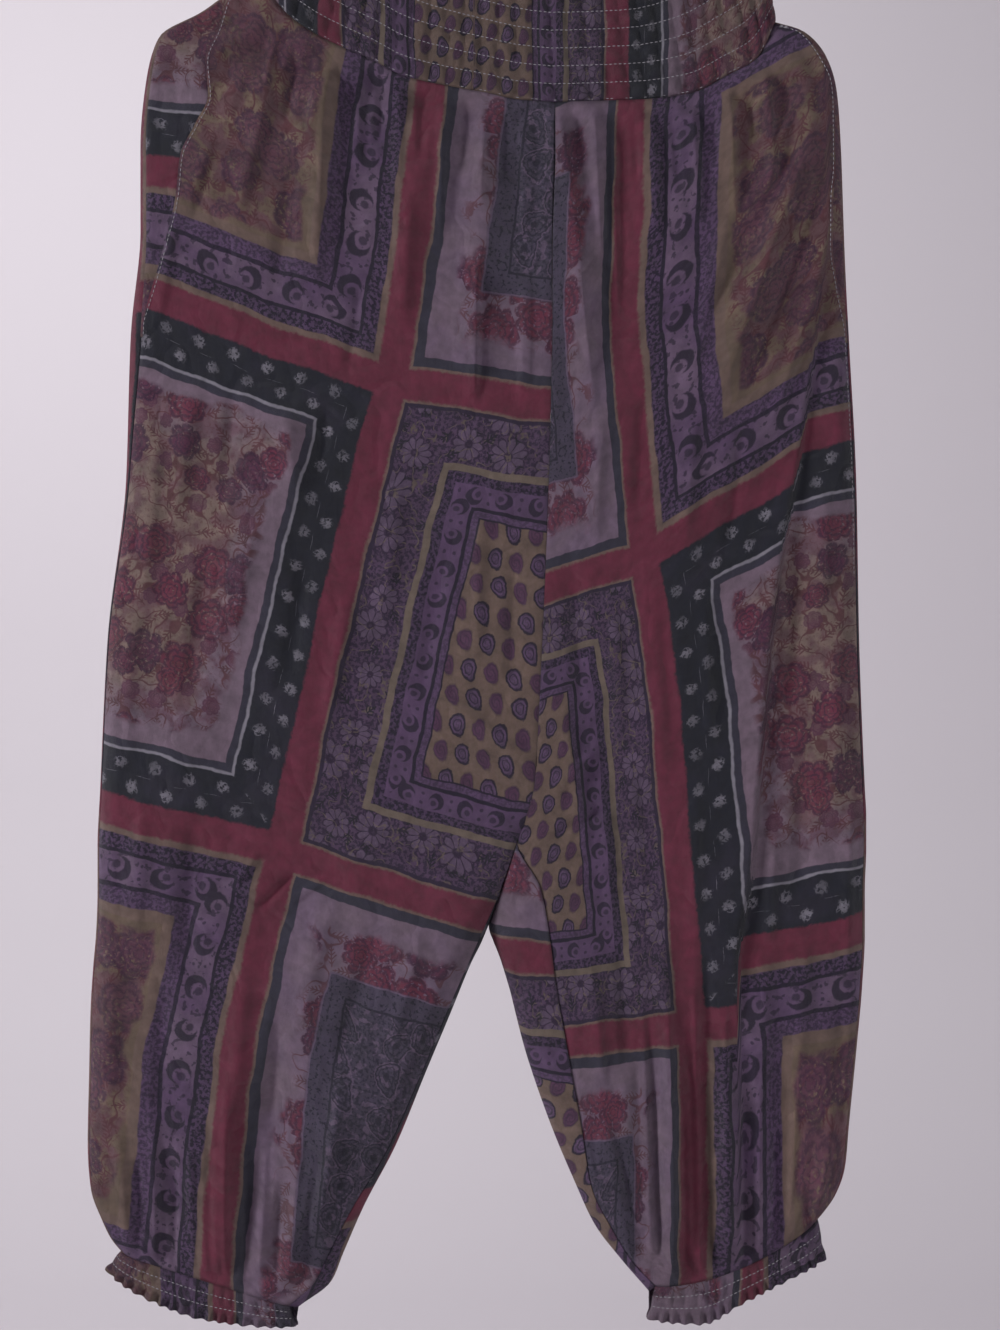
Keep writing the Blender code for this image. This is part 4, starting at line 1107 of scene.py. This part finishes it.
def squareA(d, alongBand, place, grain, blotch):
    # A dark border with two rows of pale sprigs, a white line, and roses on a pale ground.
    f = frames["A"]
    colour = paint("teal", "slate", soft(blotch, 0.45, 0.7) * 0.8)
    second = d.over(26, 0.5)
    x = alongBand + second * (f["pitch"] / 2)
    x = x - x.steps(f["pitch"]) * f["pitch"] - f["pitch"] / 2
    y = d - second * (f["motifs"][1] - f["motifs"][0]) - f["motifs"][0]
    lean = (alongBand * 0.31).maths("SINE")
    petal = (y.maths("ARCTAN2", x) * 2.0 + lean * 3.0).maths("COSINE").size() * 0.3 + 0.7
    motif = (reach(x, y) / petal + (grain - 0.5) * 8.0).over(4.6, 0.9).flipped() * soft(grain, 0.34, 0.52)
    colour = paint(colour, "white", motif * (lean * 0.15 + 0.5))
    ground = paint("light", "ivory", soft(d + (blotch - 0.5) * 60, 62, 96) * 0.75)
    twigs, _ = sprays(place, 15, 8.0, 3.6)
    clear = soft(d + (blotch - 0.5) * 26, f["clear"], f["clear"] + 5)
    ground = paint(ground, "mauve", soft(speckle(place, 16.0, 3.0), 0.46, 0.60) * clear * 0.6)
    ground = paint(ground, "brown", soft(grain, 0.54, 0.64) * clear * 0.4)
    ground = paint(ground, "brown", twigs.most(boughs(place, 21.0)) * clear * 0.85)
    small, smallLines, smallLuck = roses(place, 19, 7.0, grain)
    ground = paint(ground, "mauve", small * clear * soft(smallLuck, 0.45, 0.5) * 0.75)
    ground = paint(ground, "plum", smallLines * clear * soft(smallLuck, 0.45, 0.5) * 0.55)
    mask, lines, luck = roses(joined(*[k + 57.0 for k in parted(place)]), 33, 15.0, grain)
    petalTone = paint("rose", "plum", soft(luck, 0.55, 0.65) * 0.8)
    petalTone = paint(petalTone, "purple", lines * 0.75)
    shown = mask * clear * (blotch * 0.5 + 0.6).least(1.0) * soft(grain, 0.28, 0.42)
    ground = paint(ground, petalTone, shown)
    colour = paint(colour, "white", d.over(f["teal"], 0.5) * 0.85)
    colour = paint(colour, "grayLine", d.over(f["white"], 0.6))
    colour = paint(colour, "light", d.over(f["gray"]))
    return paint(colour, ground, soft(d, f["gray"] + 1, f["gray"] + 3))


def squareB(d, alongBand, place, grain, blotch):
    # A lilac border with crescents between dark mottled rims, and faint boughs on beige.
    f = frames["B"]
    mottled = soft(grain, 0.42, 0.58)
    colour = paint("beige", paint("darkLine", "lilac", mottled * 0.75), d.over(f["beige"], 0.6))
    lilacBand = paint("lilac", "lightLilac", soft(blotch, 0.3, 0.7) * 0.7)
    middle = (f["rim"] + f["band"]) / 2
    marks = crescents(alongBand, d - middle + (grain - 0.5) * 2.0, f["pitch"], 8.0)
    marks = marks.most(soft(speckle(place, 5.0, 2.0), 0.60, 0.66) * 0.75)
    lilacBand = paint(lilacBand, "darkLine", marks * 0.9)
    colour = paint(colour, "darkLine", d.over(f["rim"] - 2.4))
    colour = paint(colour, lilacBand, d.over(f["rim"]))
    colour = paint(colour, paint("darkLine", "rim", mottled), d.over(f["band"]))
    colour = paint(colour, paint("lilac", "rim", mottled * 0.75), d.over(f["line"]))
    colour = paint(colour, "beige", d.over(f["rimIn"], 0.6))
    clear = soft(d + (blotch - 0.5) * 24, f["beigeIn"] + 2, f["beigeIn"] + 8)
    ground = paint("olive", "ivory", soft(blotch, 0.4, 0.7) * 0.6)
    ground = paint(ground, "mauve", soft(speckle(place, 16.0, 3.0), 0.40, 0.56) * clear * 0.7)
    ground = paint(ground, "brown", soft(grain, 0.52, 0.62) * clear * 0.45)
    twigs, _ = sprays(place, 14, 9.0, 4.2)
    ground = paint(ground, "brown", twigs.most(boughs(place, 26.0)) * clear * 0.9)
    mask, lines, luck = roses(place, 37, 20.0, grain)
    petalTone = paint("mauve", "plum", soft(luck, 0.5, 0.6) * 0.6)
    petalTone = paint(petalTone, "purple", lines * 0.7)
    shown = mask * clear * (blotch * 0.6 + 0.5).least(1.0) * soft(grain, 0.30, 0.46)
    ground = paint(ground, petalTone, shown)
    return paint(colour, ground, d.over(f["beigeIn"], 0.6))


def squareC(d, alongBand, s, t, place, grain, blotch):
    # Daisies and dark leaf bunches on lilac, a beige frame, a crescent band, and ovals on beige.
    f = frames["C"]
    x, y, luck = scattered(place, 33, 0.45)
    r = reach(x, y)
    angle = y.maths("ARCTAN2", x)
    r = r / (luck[0] * 0.35 + 0.78) + (grain - 0.5) * 3.0
    daisy = (angle * 5.0 + luck[1] * 6.28).maths("COSINE").size()
    tip = r / (daisy.maths("SQRT") * 0.42 + 0.58)
    petals = tip.over(12.4, 0.8).flipped() * r.over(3.4, 0.5) * soft(daisy, 0.15, 0.45)
    outline = tip.within(12.2, 13.8, 0.5)
    heart = r.within(1.2, 2.8, 0.4)
    mottled = soft(grain, 0.42, 0.58)
    lace = paint("lace", "rim", mottled * 0.9)
    lace = paint(lace, "rim", tip.over(13.4, 0.6).flipped() * 0.5)
    lace = paint(lace, "laceLight", petals * (grain * 0.9 + 0.05))
    lace = paint(lace, "purple", heart.most(outline) * 0.7)
    lace = paint(lace, "vine", boughs(place, 15.0) * soft(grain, 0.4, 0.55) * 0.7)
    twigs, twigLuck = sprays(joined(*[k + 33.0 for k in parted(place)]), 13, 5.5, 3.8)
    lace = paint(lace, "laceDark", twigs * soft(twigLuck, 0.5, 0.55) * tip.over(11.5, 1.5) * 0.95)
    colour = paint("beige", "rim", d.over(f["beige"]))
    colour = paint(colour, lace, d.over(f["line"], 0.5))
    colour = paint(colour, "vine", d.over(f["lace"]))
    rim = paint("darkLine", "lilac", mottled * 0.6)
    colour = paint(colour, rim, d.over(f["frame"]))
    middle = (f["rim"] + f["band"]) / 2
    marks = crescents(alongBand, d - middle + (grain - 0.5) * 1.5, f["pitch"], 5.8)
    colour = paint(colour, paint("lilac", "darkLine", marks * 0.85), d.over(f["rim"]))
    colour = paint(colour, "darkLine", d.over(f["band"]))
    colour = paint(colour, paint("lilac", "rim", mottled * 0.5), d.over(f["line2"]))
    row = t.steps(f["ovalY"])
    shifted = s + row.parity() * (f["ovalX"] / 2)
    column = shifted.steps(f["ovalX"])
    x = shifted - column * f["ovalX"] - f["ovalX"] / 2
    y = t - row * f["ovalY"] - f["ovalY"] / 2
    x = x + y * 0.22 + y * y * 0.03
    share = reach(x / 5.6, y / 7.8) + (grain - 0.5) * 0.3
    odd = (row + column).parity()
    outline = share.within(0.78, 1.0, 0.06).most(share.within(0.40, 0.54, 0.05) * 0.8)
    fill = paint("lilac", "plum", odd * 0.7)
    rays = (share * 15.0 + y.maths("ARCTAN2", x) * 2.0).maths("SINE")
    fill = paint(fill, "rim", soft(rays, 0.1, 0.8) * 0.5)
    field = paint("beige", "olive", soft(grain, 0.4, 0.6) * 0.6)
    field = paint(field, fill, share.over(0.88, 0.06).flipped() * 0.95)
    field = paint(field, "darkLine", outline * (odd.flipped() * 0.65 + 0.3))
    colour = paint(colour, "darkLine", d.over(f["rimIn"] - 1.2))
    return paint(colour, field, d.over(f["rimIn"]))


def squareD(d, ds, dt, place, grain, blotch):
    # Roses and twigs on pale lilac round a smoky patch of curled leaves.
    f = frames["D"]
    colour = paint("beige", "grayLine", d.over(f["beige"]))
    ground = paint("light", "lightLilac", soft(blotch, 0.3, 0.7))
    clear = soft(d + (blotch - 0.5) * 40, f["clear"] + 6, f["clear"] + 14)
    twigs, _ = sprays(place, 15, 8.5, 4.0)
    ground = paint(ground, "brown", twigs.most(boughs(place, 24.0)) * clear * 0.75)
    mask, lines, luck = roses(place, 35, 18.0, grain)
    petalTone = paint("rose", "plum", soft(luck, 0.6, 0.7) * 0.7)
    petalTone = paint(petalTone, "purple", lines * 0.7)
    shown = mask * clear * (blotch * 0.5 + 0.65).least(1.0) * soft(grain, 0.28, 0.42)
    ground = paint(ground, petalTone, shown)
    inPatch = (ds - f["patchSide"]).over(0, 1) * (dt - f["patchTop"]).over(0, 1)
    edge = (ds - f["patchSide"]).least(dt - f["patchTop"])
    x, y, leafLuck = scattered(place, 27, 0.6)
    x, y = turned(x, y, leafLuck[0] * 1.2 - 0.6)
    share = reach((x + y * y * 0.035) / 8.0, y / 12.0) + (grain - 0.5) * 0.4
    curl = share.within(0.86, 1.0, 0.05) + share.within(0.55, 0.66, 0.05) + share.over(0.25, 0.05).flipped()
    mottled = soft(grain, 0.45, 0.6)
    patch = paint("blueGray", "slate", mottled * 0.75)
    patch = paint(patch, "laceLight", soft(speckle(place, 6.0, 3.0), 0.56, 0.64) * 0.5)
    patch = paint(patch, "slate", curl.least(1.0) * 0.85)
    patch = paint(patch, "laceLight", share.within(1.0, 1.1, 0.04) * 0.5)
    border = paint("blueGray", "slate", soft(grain, 0.55, 0.62) * 0.9)
    patch = paint(border, patch, edge.over(17.0, 0.5))
    patch = paint(patch, "laceLight", edge.within(0.0, 1.4, 0.3) * 0.6)
    patch = paint(patch, "slate", edge.within(15.4, 17.0, 0.3) * 0.9)
    ground = paint(ground, patch, inPatch)
    return paint(colour, ground, d.over(f["gray"]))


def printColour(tree):
    # The patchwork print: four framed squares in turn, parted by red bands.
    uv = tree.nodes.new("ShaderNodeUVMap")
    uv.uv_map = "print"
    u, v = [metres * 1000.0 for metres in parted(Wire(tree, uv.outputs[0]))]
    across, down = joined(u, v), joined(v + 90.0, u)
    for size, amount in (("wobbleSize", "wobble"), ("waverSize", "waver")):
        u = u + (speckle(across, clothLook[size], 1.0) - 0.5) * (2 * clothLook[amount])
        v = v + (speckle(down, clothLook[size], 1.0) - 0.5) * (2 * clothLook[amount])
    width, height = square["width"] / mm, square["height"] / mm
    column, row = u.steps(width), v.steps(height)
    s, t = u - column * width, v - row * height
    ds = s.least(s * -1.0 + width)
    dt = t.least(t * -1.0 + height)
    d = ds.least(dt)
    upright = ds.maths("LESS_THAN", dt)
    alongBand = s + (t - s) * upright
    place = joined(u, v)
    grain = speckle(place, 2.6, 3.0, 0.6)
    blotch = speckle(place, 42.0, 3.0)
    outerA = squareA(d, alongBand, place, grain, blotch)
    outerB = squareB(d, alongBand, place, grain, blotch)
    innerC = squareC(d, alongBand, s, t, place, grain, blotch)
    innerD = squareD(d, ds, dt, place, grain, blotch)
    outer = paint(outerA, outerB, row.parity())
    inner = paint(innerC, innerD, row.parity())
    colour = paint(outer, inner, column.parity())
    redMask = (d + (grain - 0.5) * 3.0).over(frames["redHalf"], 1.2).flipped()
    redTone = paint("red", "rose", soft(blotch, 0.4, 0.8) * 0.4)
    return paint(colour, redTone, redMask), blotch, place


# depth scales the colour's value all over; below 1 it paints shade into the cloth.
def clothMaterial(name, crinkle, depth=1.0):
    material = bpy.data.materials.new(name)
    material.use_nodes = True
    tree = material.node_tree
    shader = tree.nodes["Principled BSDF"]
    colour, blotch, place = printColour(tree)
    shade = tree.nodes.new("ShaderNodeHueSaturation")
    # Painted shade and painted highlight: the colour's value rises and falls with the slow blotch noise and
    # the finer worn noise, partly real fading and bleaching of the cloth, partly painted light and shade of
    # folds and crinkles.
    wornAndCrinkleShade = speckle(place, 11.0, 4.0, 0.65)
    fade, bleachAndCrinkleShade = clothLook["fade"], clothLook["bleachAndCrinkleShade"]
    value = (blotch * fade + wornAndCrinkleShade * bleachAndCrinkleShade + (1 - fade / 2 - bleachAndCrinkleShade / 2)) * depth
    tree.links.new(value.socket, shade.inputs["Value"])
    tree.links.new(colour.socket, shade.inputs["Color"])
    tree.links.new(shade.outputs[0], shader.inputs["Base Color"])
    shader.inputs["Roughness"].default_value = clothLook["roughness"]
    shader.inputs["Specular IOR Level"].default_value = clothLook["gloss"]
    shader.inputs["Sheen Weight"].default_value = clothLook["sheen"]
    shader.inputs["Sheen Roughness"].default_value = clothLook["sheenRoughness"]
    x, y = parted(place)
    turn = 2 * math.pi / clothLook["weave"]
    weave = (x * turn).maths("SINE") * (y * turn).maths("SINE")
    coords = tree.nodes.new("ShaderNodeTexCoord")
    drawnDown = tree.nodes.new("ShaderNodeMapping")
    drawnDown.inputs["Scale"].default_value = (1.0, 1.0, 0.45)
    tree.links.new(coords.outputs["Object"], drawnDown.inputs["Vector"])
    crumple = tree.nodes.new("ShaderNodeTexNoise")
    crumple.inputs["Scale"].default_value = 80.0
    crumple.inputs["Detail"].default_value = 4.0
    crumple.inputs["Roughness"].default_value = 0.55
    tree.links.new(drawnDown.outputs[0], crumple.inputs["Vector"])
    creases = (speckle(place, 34.0, 1.0) - 0.5).size().least(0.10) * 4.5
    height = weave * (clothLook["weaveBump"] / 2) + (Wire(tree, crumple.outputs[0]) + creases) * crinkle
    bump = tree.nodes.new("ShaderNodeBump")
    bump.inputs["Strength"].default_value = 1.0
    bump.inputs["Distance"].default_value = 0.008
    tree.links.new(height.socket, bump.inputs["Height"])
    tree.links.new(bump.outputs[0], shader.inputs["Normal"])
    return material


def plainMaterial(name, colour, roughness):
    material = bpy.data.materials.new(name)
    material.use_nodes = True
    shader = material.node_tree.nodes["Principled BSDF"]
    shader.inputs["Base Color"].default_value = linear(colour)
    shader.inputs["Roughness"].default_value = roughness
    return material


printedCloth = clothMaterial("printedViscose", clothLook["crinkle"])
# The shirred cloth is the same print with its value at 0.86: painted shade of the gathers.
shirredShadedCloth = clothMaterial("shirredViscose", clothLook["shirredCrinkle"], 0.86)
paleThread = plainMaterial("paleThread", (150, 146, 154), 0.7)
print("cloth materials ready")


def sewLeg(leg):
    side = leg.side
    front, back, facing, cuff = makeFront(leg), makeBack(leg), makeFacing(leg), makeCuff(leg)
    asCloth(front, printedCloth, side + "_front")
    asCloth(back, printedCloth, side + "_back")
    asCloth(facing, printedCloth, side + "_pocket_facing")
    asCloth(cuff, shirredShadedCloth, side + "_cuff")
    threads = {"Front": [mouthThreads(leg), barTack(leg)], "Cuff": [cuffThreads(leg)]}
    print(side, "leg sewn")


def sewWaist():
    waist = makeBand()
    asCloth(waist, shirredShadedCloth, "waistband")
    shirringThreads()
    print("waistband sewn")


for sewn in legs.values():
    sewLeg(sewn)
sewWaist()

stageLook = {
    "wallAt": 3.6, "floorAt": -1.75, "bend": 1.2, "wide": 8.0, "near": -6.0, "high": 4.5,
    "wall": (206, 199, 205), "wallRoughness": 0.9,
}
view = {"centre": (-0.00805, -0.5621), "away": 1.5, "high": 0.931, "sensor": 36.0}


def makeStage():
    # A pale floor that turns up into a wall, well behind the trousers.
    s = stageLook
    bm = bmesh.new()
    bmesh.ops.create_grid(bm, x_segments=2, y_segments=40, size=0.5)
    level = s["wallAt"] - s["bend"] - s["near"]
    arc = math.pi / 2 * s["bend"]
    for vertex in bm.verts:
        run = (vertex.co.y + 0.5) * (level + arc + s["high"])
        turn = min(max(run - level, 0) / s["bend"], math.pi / 2)
        y = s["near"] + min(run, level) + s["bend"] * math.sin(turn)
        z = s["bend"] * (1 - math.cos(turn)) + max(run - level - arc, 0)
        vertex.co = (vertex.co.x * 2 * s["wide"], y, z + s["floorAt"])
    mesh = bpy.data.meshes.new("paleSweep")
    bm.to_mesh(mesh)
    bm.free()
    mesh.shade_smooth()
    mesh.materials.append(plainMaterial("palePaint", s["wall"], s["wallRoughness"]))
    sweep = bpy.data.objects.new("paleSweep", mesh)
    bpy.context.scene.collection.objects.link(sweep)


def addLight(name, place, size, power, aim):
    light = bpy.data.lights.new(name, "AREA")
    light.shape = "RECTANGLE"
    light.size, light.size_y = size
    light.energy = power
    lamp = bpy.data.objects.new(name, light)
    lamp.location = place
    lamp.rotation_euler = (Vector(aim) - Vector(place)).to_track_quat("-Z", "Y").to_euler()
    bpy.context.scene.collection.objects.link(lamp)


def makeCamera():
    data = bpy.data.cameras.new("camera")
    data.sensor_width = view["sensor"]
    data.lens = view["sensor"] * view["away"] / view["high"]
    camera = bpy.data.objects.new("camera", data)
    x, z = view["centre"]
    camera.location = (x, -view["away"], z)
    camera.rotation_euler = (math.pi / 2, 0, 0)
    bpy.context.scene.collection.objects.link(camera)
    bpy.context.scene.camera = camera


def makeWorld():
    world = bpy.data.worlds.new("paleRoom")
    world.use_nodes = True
    background = world.node_tree.nodes["Background"]
    background.inputs["Color"].default_value = (0.95, 0.95, 1.0, 1)
    background.inputs["Strength"].default_value = 0.36
    bpy.context.scene.world = world
    bpy.context.scene.view_settings.view_transform = "Standard"


makeStage()
addLight("keySoft", (-2.5, -1.2, -0.2), (0.7, 0.7), 68, (0, 0, -0.6))
addLight("fillSoft", (1.9, -2.2, -0.5), (1.6, 1.6), 28, (0.1, 0, -0.8))
addLight("wallWash", (-1.4, 1.3, 1.0), (1.8, 1.4), 45, (-0.3, 3.6, -0.3))
makeWorld()
makeCamera()
print("stage and camera ready")
